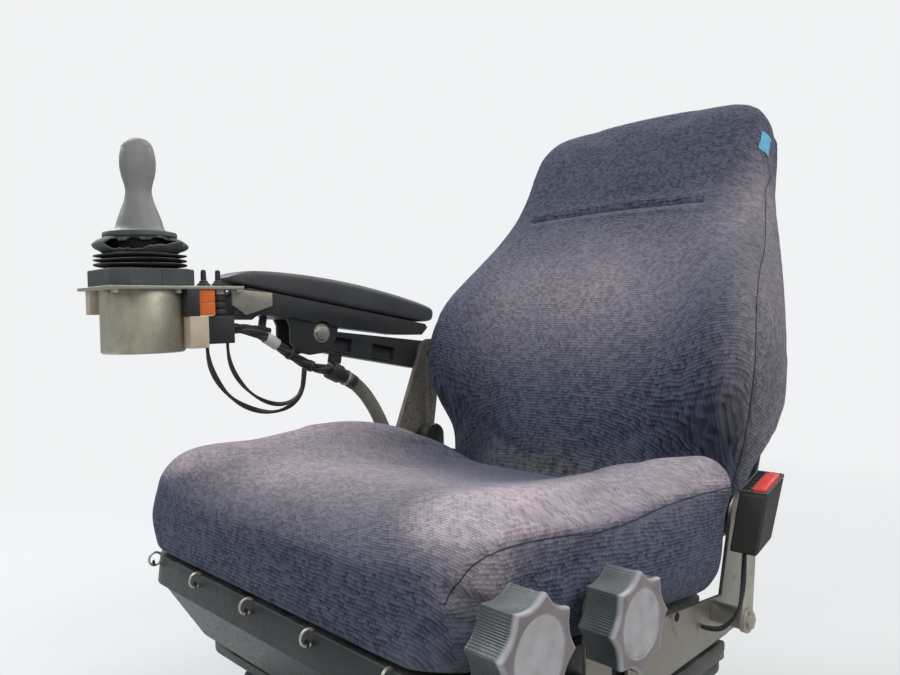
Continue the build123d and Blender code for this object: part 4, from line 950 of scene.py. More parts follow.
def stitch_tree():
    """Stitches along a curve: one short thread laid at each pitch."""
    made = GrowingTree("stitches", "LENGTH", Pitch=4 * MM, Length=2.8 * MM, Thickness=0.5 * MM)
    thread = made.add("GeometryNodeMeshUVSphere", Segments=6, Rings=4, Radius=1.0)
    size, shaped = made.add("ShaderNodeCombineXYZ"), made.add("GeometryNodeTransform")
    half = made.add("ShaderNodeMath", "MULTIPLY")
    half.inputs[1].default_value = 0.5
    made.join((made.given, "Pitch", made.spots, "Length"), (made.given, "Length", half, 0),
              (made.given, "Thickness", size, "X"), (made.given, "Thickness", size, "Y"),
              (half, 0, size, "Z"),
              (thread, "Mesh", shaped, "Geometry"), (size, 0, shaped, "Scale"),
              (made.spots, "Rotation", made.shapes, "Rotation"), (shaped, 0, made.shapes, "Instance"))
    return made.tree


STITCHES = stitch_tree()


def grown_along(name, points, tree, finish):
    """A plain mesh of what a geometry tree makes along a line of points."""
    curve = bpy.data.curves.new(name, "CURVE")
    curve.dimensions = "3D"
    spline = curve.splines.new("POLY")
    spline.points.add(len(points) - 1)
    for point, place in zip(spline.points, points):
        point.co = (*place, 1)
    holder = bpy.data.objects.new(name + "_line", curve)
    SCENE.collection.objects.link(holder)
    grower = holder.modifiers.new("grown", "NODES")
    grower.node_group = tree
    grower[tree.interface.items_tree["Finish"].identifier] = finish
    mesh = bpy.data.meshes.new_from_object(holder.evaluated_get(bpy.context.evaluated_depsgraph_get()))
    bpy.data.objects.remove(holder)
    mesh.name = name
    mesh.polygons.foreach_set("use_smooth", [True] * len(mesh.polygons))
    return link_piece(name, mesh)


def sewn(cover, name, body, lines, deep, wide, lip):
    """Presses seams into a cover, and lays a thread in each with a row of stitches on it."""
    threads = []
    for points, towards in lines:
        press(cover, drawn_line(points, cover, towards=towards), deep, wide, lip)
    for number, (points, towards) in enumerate(lines):
        line = drawn_line(points, cover, lift=THREAD_LIFT, towards=towards)
        threads.append(tube(f"{name}_{number}", line, lambda distance, angle: THREAD_R, THREAD,
                            sides=THREAD_SIDES))
        threads.append(grown_along(f"{name}_stitch_{number}", line, STITCHES, THREAD))
    seam = joined_piece(name, threads)
    placed(seam, body)


def seat_cover():
    cover = shrunk(seat_cover_form(), SWELL_IN * MM)

    def held(vertex):
        across, along, high = over_pan(vertex.co)
        return high < 4 or (vertex.normal.y > 0.75 and abs(across) < 214)
    swollen(cover, held, 8 * MM)
    side_seams = []
    for side in (1, -1):
        run = [seat_point(side * across, along, high) for across, along, high in SEAM_START]
        run += [seat_point(side * COVER_HALF, along, reading(SIDE_SEAM, along))
                for along in range(SEAM_FROM, SEAM_TO, SEAM_STEP)]
        side_seams.append((run, Vector((-side, 0.4, -0.4))))
    for start, end, deep, wide in SEAT_FOLDS:
        press(cover, drawn_line([seat_point(*start), seat_point(*end)], cover), deep * MM, wide * MM)
    for centre, reach, deep in SEAT_DENTS:
        dent(cover, seat_point(*centre), reach * MM, deep * MM)
    sewn(cover, "seat_seams", "seat", side_seams, 1.4 * MM, 2.2 * MM, 0.3 * MM)
    lay_weave(cover, seat_weave)
    # The side rolls above their seams painted pale: wear and painted top light
    rubbed_and_lit = []
    for vertex in cover.data.vertices:
        across, along, high = over_pan(vertex.co)
        over = eased(high - reading(SIDE_SEAM, along), -5, 7) * eased(abs(across), 120, 190)
        rubbed_and_lit.append(over * (RUBBED_AND_LIT_LEFT if across > 0 else RUBBED_AND_LIT_RIGHT))
    paint(cover, "worn", SEAT_WORN_AND_LIT, seat_point, np.array(rubbed_and_lit))
    paint(cover, "dusty", SEAT_DUSTY, seat_point)
    placed(cover, "seat", "seat_cushion")


# Backrest cover, in millimetres: tables of (along the backrest, half width) and (along it, out of its front)
BACK_HALF = [(-42, 198), (-20, 209), (0, 214), (51, 224), (84, 240), (120, 251), (150, 253), (211, 245),
             (280, 229), (340, 212), (390, 200), (433, 194), (490, 191)]
BACK_TOP, BACK_TOP_CORNER, BACK_CROWN = 544, 62, 6
WING = [(-42, -60), (0, -44), (51, -28), (84, 6), (120, 34), (164, 48), (211, 52), (280, 36), (340, 18),
        (390, 8), (433, 6), (544, 3)]
LUMBAR = [(-42, 0), (0, 0), (60, 9), (150, 20), (230, 24), (320, 18), (373, 10), (430, 10), (544, 6)]
BACK_THICK = [(0, 83), (250, 76), (544, 68)]
BACK_ROUND, BACK_MIDDLE = 22, 250
BACK_SEAM_DROP = 14
BACK_SEAM_IN = 9
SIDE_TUCK = 11
HEAD_SEAM_AT = 373
BACK_TOP_RINGS = (0.1, 0.2, 0.3, 0.4, 0.5, 0.6, 0.68, 0.76, 0.82, 0.87, 0.91, 0.94, 0.965, 0.985, 1.0)
BACK_WALL_RINGS = (0.2, 0.4, 0.6, 0.8, 0.94)
BACK_REAR_RINGS = (0.96, 0.9, 0.8, 0.6, 0.4, 0.2)
BACK_FOLDS = (((-150, 60, 0), (-40, 22, 0), 1.6, 8), ((120, 70, 0), (30, 26, 0), 1.4, 8),
              ((150, 40, 0), (196, 74, 0), 1.5, 8))
# Pale spots of wear and painted light on the lumbar and the lit near side: centre, reach in x, y and z,
# amount
BACK_WORN_AND_LIT = (
    ((20, 245, 15), (130, 90, 90), 0.42), ((-130, 230, 20), (70, 70, 100), 0.22),
    ((236, 210, 0), (22, 160, 200), 0.30), ((192, 380, -20), (26, 70, 100), 0.34),
    ((170, 330, 0), (50, 60, 90), 0.14),
)
BACK_DUSTY = (((0, 8, 0), (220, 14, 26), 0.8), ((216, 330, -40), (26, 200, 260), 0.35),
              ((-190, 30, 0), (50, 40, 40), 0.4))
TAG_LOW, TAG_ROWS, TAG_COLUMNS, TAG_STEP, TAG_OFF = 450, 14, 10, 2, 0.9


def back_outline():
    """Points and outward directions round the backrest, from the foot's middle up the left and back."""
    right = [(BACK_HALF[0][1] * i / 12, -ROLL_R) for i in range(12)]
    right += [(reading(BACK_HALF, along), along) for along in range(-42, int(BACK_TOP - BACK_TOP_CORNER), 8)]
    middle = Vector((reading(BACK_HALF, BACK_TOP) - BACK_TOP_CORNER, BACK_TOP - BACK_TOP_CORNER))
    for i in range(9):
        angle = pi / 2 * i / 8
        right.append((middle.x + BACK_TOP_CORNER * cos(angle), middle.y + BACK_TOP_CORNER * sin(angle)))
    for i in range(1, 10):
        x = middle.x * (1 - i / 10)
        right.append((x, BACK_TOP + BACK_CROWN * (1 - (x / middle.x)**2)))
    loop = right + [(0, BACK_TOP + BACK_CROWN)] + [(-x, along) for x, along in reversed(right[1:])]
    points = [Vector(pair) for pair in loop]
    found = []
    for before, point, after in zip(points[-1:] + points, points, points[1:] + points[:1]):
        run = (after - before).normalized()
        found.append((point, Vector((run.y, -run.x))))
    return found


def back_cover_form():
    """The cover's shape before it swells: a front with wings and a lumbar swell, walls and a flat rear."""
    outline = back_outline()
    centre = Vector((0, BACK_MIDDLE))

    def roll(along):
        return sqrt(max(0.0, ROLL_R**2 - min(along, 0.0)**2))

    def front(point):
        half = reading(BACK_HALF, min(point.y, BACK_TOP - BACK_TOP_CORNER))
        spread = eased(abs(point.x) / half, 0.42, 0.93)
        height = reading(LUMBAR, point.y) * (1 - spread) + reading(WING, point.y) * spread
        if point.y < 0:
            height = min(height, roll(point.y) - ROLL_R)
        return height

    def rear(point):
        return -reading(BACK_THICK, point.y) if point.y >= 0 else -ROLL_R - roll(point.y)

    def front_edge(point, outward):
        foot = eased(-outward.y, 0.5, 0.9)
        lowest = rear(point) + 8
        return max(lowest, front(point) - BACK_SEAM_DROP * (1 - foot))

    def top_point(share, point, outward):
        at = centre.lerp(point, share)
        over = max(0.0, 1 - (point - at).dot(outward) / BACK_ROUND)
        edge = front_edge(point, outward)
        flat = eased(-outward.y, 0.5, 0.9) == 1
        height = edge + (front(at) - edge) * (1 if flat else sqrt(max(0.0, 1 - over * over)))
        return back_point(at.x, at.y, height)

    def wall_point(share, point, outward):
        edge, back = front_edge(point, outward), rear(point)
        foot = eased(-outward.y, 0.5, 0.9)
        at = point - outward * (SIDE_TUCK * eased(share, 0.35, 1.0) * (1 - foot))
        return back_point(at.x, at.y, edge + (back - edge) * share)

    def rear_point(share, point, outward):
        at = centre.lerp(point, share)
        return back_point(*at, rear(at))

    rings = [[made(share, *pair) for pair in outline] for made, shares in (
        (top_point, BACK_TOP_RINGS), (wall_point, BACK_WALL_RINGS), (rear_point, BACK_REAR_RINGS))
        for share in shares]
    return rings_mesh("backrest_cover", rings, CLOTH, first_pole=back_point(0, centre.y, front(centre)),
                      last_pole=back_point(0, centre.y, rear(centre)))


def side_tag(cover):
    """A small blue tag that lies on the backrest's near side."""
    tree = BVHTree.FromObject(cover, bpy.context.evaluated_depsgraph_get())
    points, faces = [], []
    for row in range(TAG_ROWS):
        for column in range(TAG_COLUMNS):
            start = back_point(300, TAG_LOW + row * TAG_STEP, -4 - column * TAG_STEP)
            place, normal, _, _ = tree.ray_cast(start, Vector((-1, 0, 0)))
            points.append(place + normal * TAG_OFF * MM)
            if row and column:
                last = row * TAG_COLUMNS + column
                faces.append((last - TAG_COLUMNS - 1, last - TAG_COLUMNS, last, last - 1))
    placed(piece_from("side_tag", points, faces, TAG), "backrest")


def backrest_cover():
    cover = shrunk(back_cover_form(), SWELL_IN * MM)

    def held(vertex):
        across, along, out = over_back(vertex.co)
        return out < -reading(BACK_THICK, along) + 9 or along < 8
    swollen(cover, held, 7 * MM)
    inwards = (back_point(0, 0, -1) - back_point(0, 0, 0)).normalized()
    half = {along: reading(BACK_HALF, along) - BACK_SEAM_IN for along in range(24, 470, 14)}
    rounds = [([back_point(side * half[along], along, reading(WING, along)) for along in half], inwards)
              for side in (1, -1)]
    head = [back_point(across, HEAD_SEAM_AT - 4 * (across / 140)**2, 8) for across in range(-134, 142, 12)]
    for start, end, deep, wide in BACK_FOLDS:
        press(cover, drawn_line([back_point(*start), back_point(*end)], cover), deep * MM, wide * MM)
    sewn(cover, "backrest_side_seams", "backrest", rounds, 1.3 * MM, 2.2 * MM, 0.3 * MM)
    sewn(cover, "backrest_head_seam", "backrest", [(head, inwards)], 3.4 * MM, 4.2 * MM, 0.9 * MM)
    side_tag(cover)
    lay_weave(cover, back_weave)
    paint(cover, "worn", BACK_WORN_AND_LIT, back_point)
    paint(cover, "dusty", BACK_DUSTY, back_point)
    placed(cover, "backrest", "backrest_cushion")


seat_cover()
backrest_cover()


# Armrest pad, in millimetres: (along the beam, height of its top, height of its underside, half width)
PAD_X = -312
PAD_STATIONS = [(0, 66, 58, 20), (4, 71, 53, 27), (14, 75, 47.5, 31), (60, 78.5, 45.5, 33),
                (120, 80.5, 44, 33), (180, 80, 43, 33), (250, 75, 42, 33), (310, 67, 41, 32),
                (335, 61, 41, 30), (349, 54, 42, 25), (355, 49, 44, 17)]
PAD_SIDES = 28
PAD_SQUARE, PAD_TOP_SQUARE = 0.36, 0.55     # 1 is a round section, 0 a square one


def armrest_pad():
    rings = []
    for along, top, low, half in PAD_STATIONS:
        ring = []
        for angle in round_turn(PAD_SIDES):
            across = half * squared_off(cos(angle), PAD_SQUARE)
            rise = squared_off(sin(angle), PAD_SQUARE if sin(angle) < 0 else PAD_TOP_SQUARE)
            ring.append(arm_point(PAD_X + across, along, (top + low) / 2 + rise * (top - low) / 2))
        rings.append(ring)
    pad = rings_mesh("armrest_cushion", rings, SKIN, first_pole=arm_point(PAD_X, -2, 62),
                     last_pole=arm_point(PAD_X, 357, 47))
    subdivided(pad, 2)
    placed(pad, "armrest", "armrest_pad")


armrest_pad()


# Knobs: eight tips with scallops between them, ribbed along the sides, and a ringed face
KNOB_R = 37
KNOB_LOW_R = 31
KNOB_TIPS = 8
KNOB_FACE_X = 288
KNOB_REAR_X = 257
KNOB_SHAFT_X, KNOB_SHAFT_R = 251, 8
KNOB_RIBS = 15          # in each scallop
KNOB_RIB = 0.5
KNOB_RING_R = 24.5
KNOB_TURNS = {"front": 0.20, "rear": 0.02}     # how far each knob is turned, in radians
KNOB_STEPS = 960
# Its side: x, share of the outline's radius, ribbed or not. Its face: radius, height over the face's edge
KNOB_PROFILE = (
    (KNOB_REAR_X, 0.93, 0), (KNOB_REAR_X + 0.8, 0.975, 0), (KNOB_REAR_X + 2, 0.99, 0),
    (KNOB_REAR_X + 3, 0.985, 1), (KNOB_FACE_X - 6.5, 0.985, 1), (KNOB_FACE_X - 5, 1.0, 0),
    (KNOB_FACE_X - 2, 1.0, 0), (KNOB_FACE_X - 0.7, 0.985, 0), (KNOB_FACE_X - 0.1, 0.955, 0),
    (KNOB_FACE_X, 0.92, 0),
)
KNOB_FACE = ((KNOB_RING_R + 1.1, 0), (KNOB_RING_R + 0.5, -0.2), (KNOB_RING_R, -1.2),
             (KNOB_RING_R - 0.6, -1.3), (KNOB_RING_R - 1.2, -0.7), (KNOB_RING_R - 2.2, -0.6), (10, -0.6),
             (1, -0.6))


def knob_reach(angle):
    """The knob's radius without its ribs: a scallop between two tips."""
    share = (angle / (2 * pi / KNOB_TIPS)) % 1.0
    return KNOB_LOW_R + (KNOB_R - KNOB_LOW_R) * min(1.0, abs(2 * share - 1)**2.1 * 1.04)


def knob(which):
    """A lobed knob with its shaft, round the CAD knob's own middle."""
    low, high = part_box(f"knob_{which}")
    centre = Vector((0, (low.y + high.y) / 2, (low.z + high.z) / 2))
    turn = KNOB_TURNS[which]
    rings = []
    for x, share, ribs in KNOB_PROFILE:
        ring = []
        for angle in round_turn(KNOB_STEPS):
            wave = KNOB_RIB * (0.5 + 0.5 * cos(angle * KNOB_TIPS * KNOB_RIBS)) if ribs else 0
            reach = (knob_reach(angle + turn) * share - wave) * MM
            ring.append(centre + Vector((x * MM, reach * cos(angle), reach * sin(angle))))
        rings.append(ring)
    for radius, sunk in KNOB_FACE:
        rings.append([centre + Vector(((KNOB_FACE_X + sunk) * MM, radius * MM * cos(angle),
                                       radius * MM * sin(angle))) for angle in round_turn(KNOB_STEPS)])
    grip = rings_mesh(f"knob_grip_{which}", rings, KNOB, first_pole=centre + Vector((KNOB_REAR_X * MM, 0, 0)),
                      last_pole=centre + Vector(((KNOB_FACE_X - 0.6) * MM, 0, 0)))
    sharp_by_angle(grip, 40)
    forwards = np.array([vertex.co.x for vertex in grip.data.vertices]) / MM - KNOB_FACE_X
    set_values(grip, "face", forwards > -1.5)
    set_values(grip, "rim", np.exp(-((forwards + 1.6) / 1.5)**2) * (forwards < -0.05))
    shaft = round_bar("shaft", centre, KNOB_SHAFT_X * MM, KNOB_REAR_X * MM, KNOB_SHAFT_R * MM, STEEL)
    placed(joined_piece(f"knob_grip_{which}", [grip, shaft]), "seat", f"knob_{which}")


def sharp_by_angle(piece, degrees):
    """Marks a piece's edges as sharp where its faces turn by more than an angle."""
    form = bmesh.new()
    form.from_mesh(piece.data)
    for edge in form.edges:
        edge.smooth = not (len(edge.link_faces) == 2 and edge.calc_face_angle(0.0) > radians(degrees))
    form.to_mesh(piece.data)
    form.free()


def round_bar(name, centre, low, high, radius, *materials, sides=40, edge=0.6 * MM):
    """A round bar with slightly broken edges along x, from low to high."""
    rings = []
    reaches = (radius - edge, radius, radius, radius - edge)
    for at, reach in zip((low, low + edge, high - edge, high), reaches):
        rings.append([Vector((at, centre.y + reach * cos(angle), centre.z + reach * sin(angle)))
                      for angle in round_turn(sides)])
    return rings_mesh(name, rings, *materials, smooth=False)


for which in KNOB_TURNS:
    knob(which)


# Small pieces: blocks with broken edges, and turned shapes
def block(name, points, edge, material):
    """A convex block round some points in metres, with its edges broken."""
    form = bmesh.new()
    for point in points:
        form.verts.new(point)
    bmesh.ops.convex_hull(form, input=form.verts)
    bmesh.ops.delete(form, geom=[vertex for vertex in form.verts if not vertex.link_faces], context="VERTS")
    bmesh.ops.dissolve_limit(form, angle_limit=radians(1), verts=form.verts, edges=form.edges)
    bmesh.ops.bevel(form, geom=form.edges[:], offset=edge * MM, segments=2, profile=0.5, affect="EDGES",
                    clamp_overlap=True)
    bmesh.ops.recalc_face_normals(form, faces=form.faces)
    mesh = bpy.data.meshes.new(name)
    form.to_mesh(mesh)
    form.free()
    return link_piece(name, mesh, material)


def box_points(x, y, z):
    return [Vector((a, b, c)) * MM for a in x for b in y for c in z]


def hexagon_points(x, y, radius, low, high):
    """The corners of an upright hexagonal head, from low to high."""
    return [Vector((x + radius * cos(pi / 3 * i + 0.3), y + radius * sin(pi / 3 * i + 0.3), at)) * MM
            for i in range(6) for at in (low, high)]


def turned(name, profile, place, material, sides=48, sharp=35):
    """A turned shape from (radius, height) steps in millimetres, put in place by a function."""
    rings = [[place(radius * cos(angle), radius * sin(angle), high) for angle in round_turn(sides)]
             for radius, high in profile]
    piece = rings_mesh(name, rings, material)
    sharp_by_angle(piece, sharp)
    return piece


def upright_at(x, y):
    return lambda across, along, high: Vector((x + across, y + along, high)) * MM


def sideways_at(y, z):
    return lambda across, up, out: Vector((out, y + across, z + up)) * MM


# Joystick: discs and a torn cuff, a flat ring, the handle, and the collar
CONSOLE_X, CONSOLE_Y = -322, -193
BOOT_LOW, BOOT_PITCH, BOOT_FOLDS = 601, 5.5, 3
BOOT_SIDES = 180
CUFF_PROFILE = [(0, 638.4, 36.5), (0.2, 637, 41), (0.4, 634, 47.5), (0.55, 629.5, 52.5), (0.7, 626.6, 50.5),
                (0.85, 624, 45.5), (1, 620.5, 40.5)]       # share of the way down, height, radius
CUFF_MIDDLE = 0.55
TEAR_FACES = radians(-22.7)
TEAR_FROM, TEAR_TO = radians(-46), radians(62)
HANDLE_PROFILE = [(38, 644.6), (37, 645.3), (30.5, 646.6), (27.6, 649), (26.3, 653), (24.6, 660), (20.6, 671),
                  (16.6, 682), (14.8, 690), (14.6, 696), (16, 703), (18.3, 711), (19.8, 719), (20.3, 727),
                  (19.8, 735), (18.4, 742), (17.6, 744.4), (17.7, 745.4), (15.5, 750), (11, 754), (5, 756),
                  (1, 756.4)]
RING_PROFILE = [(33, 638.2), (40.4, 638.4), (41.3, 639.4), (41.3, 643), (40.4, 644.4), (24, 644.6)]
COLLAR_HALF, COLLAR_CUT, COLLAR_LOW = 50, 17, 581
TOGGLES_X, TOGGLES_Y = -300, (-126, -107)
TOGGLE_PROFILE = [(9, 581), (9, 582.4), (7.6, 583.2), (7.9, 584.6), (5.6, 585.6), (5.2, 587.6), (3.5, 589),
                  (3.2, 599.6), (2.6, 601.2), (1.2, 602)]
GLAND_X, GLAND_Y, GLAND_LOW, GLAND_RIB_PITCH = -286, -114, 545, 8.6
PLATE_BOLTS = ((-278, -169), (-272.5, -243), (-300, -243.5))
TILT_WASHER = [(13, -287.2), (13, -285.9), (12.6, -285.5)]


def torn_cuff():
    """The cuff over the discs: its front is torn open, with a sagging upper lip and a raised flap."""
    heights = [(share, high) for share, high, _ in CUFF_PROFILE]
    radii = [(share, radius) for share, _, radius in CUFF_PROFILE]
    rows = 8

    def cuff_point(share, angle, out=0.0, lift=0.0):
        wave = sin(3 * angle + 0.4) * 1.1 + sin(8 * angle) * 0.5
        crinkle = sin(5 * angle + 1) * 1.1 + sin(13 * angle) * 0.6
        loose = sin(pi * min(1.0, share * 1.05))
        reach = reading(radii, share) + crinkle * loose + out
        return Vector((CONSOLE_X + reach * cos(angle), CONSOLE_Y + reach * sin(angle),
                       reading(heights, share) + wave * loose + lift)) * MM

    points, faces = [], []
    for sheet in (0, 1):
        start = len(points)
        for angle in round_turn(BOOT_SIDES):
            turn = (angle - TEAR_FACES + pi) % (2 * pi) - pi
            open_here = eased(turn, TEAR_FROM, TEAR_FROM + 0.1) * (1 - eased(turn, TEAR_TO - 0.12, TEAR_TO))
            ragged = 0.05 * sin(11 * turn + 1) + 0.035 * sin(27 * turn) + 0.02 * sin(51 * turn)
            upper = 0.22 + ragged + 0.1 * eased(turn, 0.1, 0.5) - 0.05 * eased(turn, -0.5, -0.2)
            lower = 0.95 - 0.36 * eased(turn, -0.15, 0.9) + ragged * 0.6
            if sheet == 0:
                near, far = 0.0, CUFF_MIDDLE - open_here * (CUFF_MIDDLE - upper)
            else:
                near, far = CUFF_MIDDLE + open_here * (lower - CUFF_MIDDLE), 1.0
            for row in range(rows + 1):
                share = near + (far - near) * row / rows
                edge = row / rows if sheet == 0 else 1 - row / rows
                out = open_here * edge**2 * (-4.0 if sheet == 0 else 3.0)
                lift = open_here * edge**2 * (-1.5 if sheet == 0 else 1.2) * (1 + sin(9 * turn))
                points.append(cuff_point(share, angle, out, lift))
        for i in range(BOOT_SIDES):
            j = (i + 1) % BOOT_SIDES
            for row in range(rows):
                faces.append((start + i * (rows + 1) + row, start + j * (rows + 1) + row,
                              start + j * (rows + 1) + row + 1, start + i * (rows + 1) + row + 1))
    cuff = piece_from("cuff", points, faces, CUFF)
    thick = cuff.modifiers.new("thickness", "SOLIDIFY")
    thick.thickness = 1.3 * MM
    thick.offset = 0
    return settled(cuff)


def joystick():
    """The joystick on its collar: folded discs under the torn cuff, a dark sheet of painted shade inside the
    tear, a flat ring and the handle.
    """
    axis = upright_at(CONSOLE_X, CONSOLE_Y)
    profile = [(36, BOOT_LOW)]
    for fold in range(BOOT_FOLDS):
        middle = BOOT_LOW + BOOT_PITCH * (fold + 1)
        profile += [(39, middle - 2.9), (41, middle - 2.5), (50, middle - 1.2), (51.7, middle - 0.6),
                    (52, middle), (51.2, middle + 0.6), (44, middle + 1.3), (39.6, middle + 2.2)]
    profile += [(39, 620), (35.5, 620.6)]
    rings = []
    for number, (radius, high) in enumerate(profile):
        ring = []
        for angle in round_turn(BOOT_SIDES):
            sway = 0.5 * sin(3 * angle + number // 8 * 1.7) * max(0.0, (radius - 40) / 12)
            ring.append(axis(radius * cos(angle), radius * sin(angle), high + sway))
        rings.append(ring)
    discs = rings_mesh("discs", rings, RUBBER)
    sharp_by_angle(discs, 60)
    # Painted shade: a near-black sheet inside the cuff, seen through the tear
    inside_shade = turned("inside_shade", [(34, 619.5), (34, 638.8)], axis, DARK_JOINT_AND_HOLE_SHADE)
    ring = turned("ring", RING_PROFILE, axis, DIM, sides=96)
    boot = joined_piece("joystick_bellows", [discs, torn_cuff(), inside_shade, ring])
    placed(boot, "armrest", "joystick_boot")
    handle = turned("joystick_grip", HANDLE_PROFILE, axis, GREY, sides=72, sharp=50)
    placed(handle, "armrest", "joystick_handle")
    half, flat = COLLAR_HALF, COLLAR_HALF - COLLAR_CUT
    outline = [(half, flat), (flat, half), (-flat, half), (-half, flat),
               (-half, -flat), (-flat, -half), (flat, -half), (half, -flat)]
    collar = block("collar", [axis(x, y, z) for x, y in outline for z in (COLLAR_LOW, BOOT_LOW)], 1.4, DIM)
    split = block("split", box_points((-272.5, -271.95), (-190.5, -189.8), (582, 600)), 0.1, DARK_JOINT_AND_HOLE_SHADE)
    placed(joined_piece("joystick_base", [collar, split]), "armrest", "joystick_collar")


def console_fittings():
    """Toggle boots, the ribbed gland and its nut, the plate's bolts and the tilt bolt's washer."""
    toggles = [turned("boot", TOGGLE_PROFILE, upright_at(TOGGLES_X, y), RUBBER) for y in TOGGLES_Y]
    placed(joined_piece("toggle_boots", toggles), "armrest", "toggle_switches")
    ribs = [(6.5, GLAND_LOW)]
    for rib in range(3):
        low = GLAND_LOW + rib * GLAND_RIB_PITCH
        ribs += [(7.2, low + 0.8), (8.8, low + 2.2), (9.2 - rib * 0.2, low + 4), (8.4, low + 6.2),
                 (6.6, low + 7.8)]
    gland = turned("ribs", ribs + [(6.5, 571.5)], upright_at(GLAND_X, GLAND_Y), RUBBER)
    nut = block("nut", hexagon_points(GLAND_X, GLAND_Y, 9, 571, 577), 0.5, ZINC)
    placed(joined_piece("ribbed_cable_gland", [gland, nut]), "armrest", "ribbed_gland")
    heads = []
    for x, y in PLATE_BOLTS:
        heads.append(turned("washer", [(5.6, 575.9), (5.6, 577)], upright_at(x, y), ZINC))
        heads.append(block("head", hexagon_points(x, y, 4.6, 572.6, 576), 0.4, ZINC))
    placed(joined_piece("plate_bolts", heads), "armrest")
    placed(turned("tilt_washer", TILT_WASHER, sideways_at(37.9, 517.9), ZINC), "armrest")


# Buckle: its case in its own plane, the ribbed slot for the tongue, and the button
BUCKLE_LEAN = radians(23)
BUCKLE_OUTLINE = [(-15, -12), (15, 11), (23, 78), (-15, 48)]
BUCKLE_IN, BUCKLE_OUT = 247, 274
BUCKLE_SLANT = 48.4     # length of its slanted end
# Rims of its slanted end: from x, to x, and from and to a share of its length
BUCKLE_RIMS = (((247.3, 248.5), (0.02, 0.98)), ((272.6, 273.7), (0.02, 0.98)), ((256.6, 257.6), (0.04, 0.96)),
               ((247.3, 273.7), (0.02, 0.055)), ((247.3, 273.7), (0.945, 0.98)))
PUSH_X, PUSH_HALF, PUSH_SQUARE = 265.1, 7.3, 0.28
PUSH_PROFILE = ((-3, 0), (0.1, 0), (0.9, 0.5), (1.5, 1.4), (1.9, 3.0), (2.1, 5.0))
STRAP_WASHER = [(12, 260.9), (12, 262.3), (11.5, 262.8)]


def buckle_point(x, across, along, over=0.0):
    """A point of the buckle: across and along it, and over its slanted end."""
    across, along = across - 0.62 * over, along + 0.785 * over
    return Vector((x, 147 + across * cos(BUCKLE_LEAN) + along * sin(BUCKLE_LEAN),
                   312 - across * sin(BUCKLE_LEAN) + along * cos(BUCKLE_LEAN))) * MM


def slant_point(x, share, over):
    """A point over the buckle's slanted end, from its front edge to its rear edge."""
    return buckle_point(x, -15 + 38 * share, 48 + 30 * share, over)


def buckle():
    """The buckle's case with its ribbed slot, the red button, the strap's washer and a dark disc of painted
    shade for the plate's hole.
    """
    case = block("case", [buckle_point(x, across, along, -2.4 if along > 40 else 0)
                          for x in (BUCKLE_IN, BUCKLE_OUT) for across, along in BUCKLE_OUTLINE], 2.0, HUSK)

    def slab(name, x, share, over, edge, material):
        return block(name, [slant_point(a, b, c) for a in x for b in share for c in over], edge, material)
    pieces = [case] + [slab("rim", x, share, (-3.5, 0), 0.4, DIM) for x, share in BUCKLE_RIMS]
    for number in range(9):
        share = 0.12 + number * 0.095
        pieces.append(slab("rib", (248.5, 256.6), (share, share + 0.028), (-3, -1.4), 0.2, HUSK))
    placed(joined_piece("buckle_case", pieces), "seat", "buckle_body")
    rings = []
    for over, inset in PUSH_PROFILE:
        ring = []
        for angle in round_turn(48):
            across, along = squared_off(cos(angle), PUSH_SQUARE), squared_off(sin(angle), PUSH_SQUARE)
            ring.append(slant_point(PUSH_X + (PUSH_HALF - inset) * across,
                                    0.5 + (0.42 - inset / BUCKLE_SLANT) * along, over))
        rings.append(ring)
    push = rings_mesh("buckle_push", rings, RED)
    sharp_by_angle(push, 60)
    placed(push, "seat", "buckle_button")
    placed(turned("strap_washer", STRAP_WASHER, sideways_at(138, 240), ZINC), "seat")
    # Painted shade: a dark disc for the hole in the plate
    hole_shade = turned("plate_hole_shade", [(4.2, 232.8), (4.2, 233.15)], sideways_at(51.5, 262.4), DARK_JOINT_AND_HOLE_SHADE)
    placed(hole_shade, "seat")


# Wire rings over the pan's front flange: one at each point of a line, each turned a little
HOG_RINGS = (-194, -103, -10, 81, 175)


def ring_tree():
    """Open wire rings at a line's points: a sweep short of a full turn, each ring turned a little."""
    made = GrowingTree("wire_rings", "EVALUATED", Radius=6.6 * MM, Wire=1.2 * MM, Turn=0.2)
    arc = made.add("GeometryNodeCurveArc", Resolution=26, Start_Angle=radians(32), Sweep_Angle=radians(296))
    wire = made.add("GeometryNodeCurvePrimitiveCircle", Resolution=10)
    bent = made.add("GeometryNodeCurveToMesh", Fill_Caps=True)
    low, high = made.add("ShaderNodeMath", "SUBTRACT"), made.add("ShaderNodeMath", "ADD")
    low.inputs[0].default_value = high.inputs[0].default_value = pi / 2
    chance = made.add("FunctionNodeRandomValue", Seed=7)
    turn = made.add("ShaderNodeCombineXYZ", X=pi / 2)
    made.join((made.given, "Radius", arc, "Radius"), (made.given, "Wire", wire, "Radius"),
              (arc, "Curve", bent, "Curve"), (wire, "Curve", bent, "Profile Curve"),
              (made.given, "Turn", low, 1), (made.given, "Turn", high, 1),
              (low, 0, chance, 2), (high, 0, chance, 3), (chance, 1, turn, "Z"),
              (turn, 0, made.shapes, "Rotation"), (bent, "Mesh", made.shapes, "Instance"))
    return made.tree


def hog_rings():
    rings = grown_along("hog_rings", [seat_point(x, -2.4, -4.6) for x in HOG_RINGS], ring_tree(), RINGS)
    placed(rings, "seat")
    # Painted shade: a dark disc for each ring's hole in the flange
    hole_shades = [turned("hole_shade", [(3.4, -0.2), (3.4, 0.25)],
                    lambda across, up, out, x=x: seat_point(x + across, -3.4 - out, -9 + up), DARK_JOINT_AND_HOLE_SHADE)
             for x in HOG_RINGS]
    placed(joined_piece("flange_hole_shades", hole_shades), "seat")


joystick()
console_fittings()
buckle()
hog_rings()


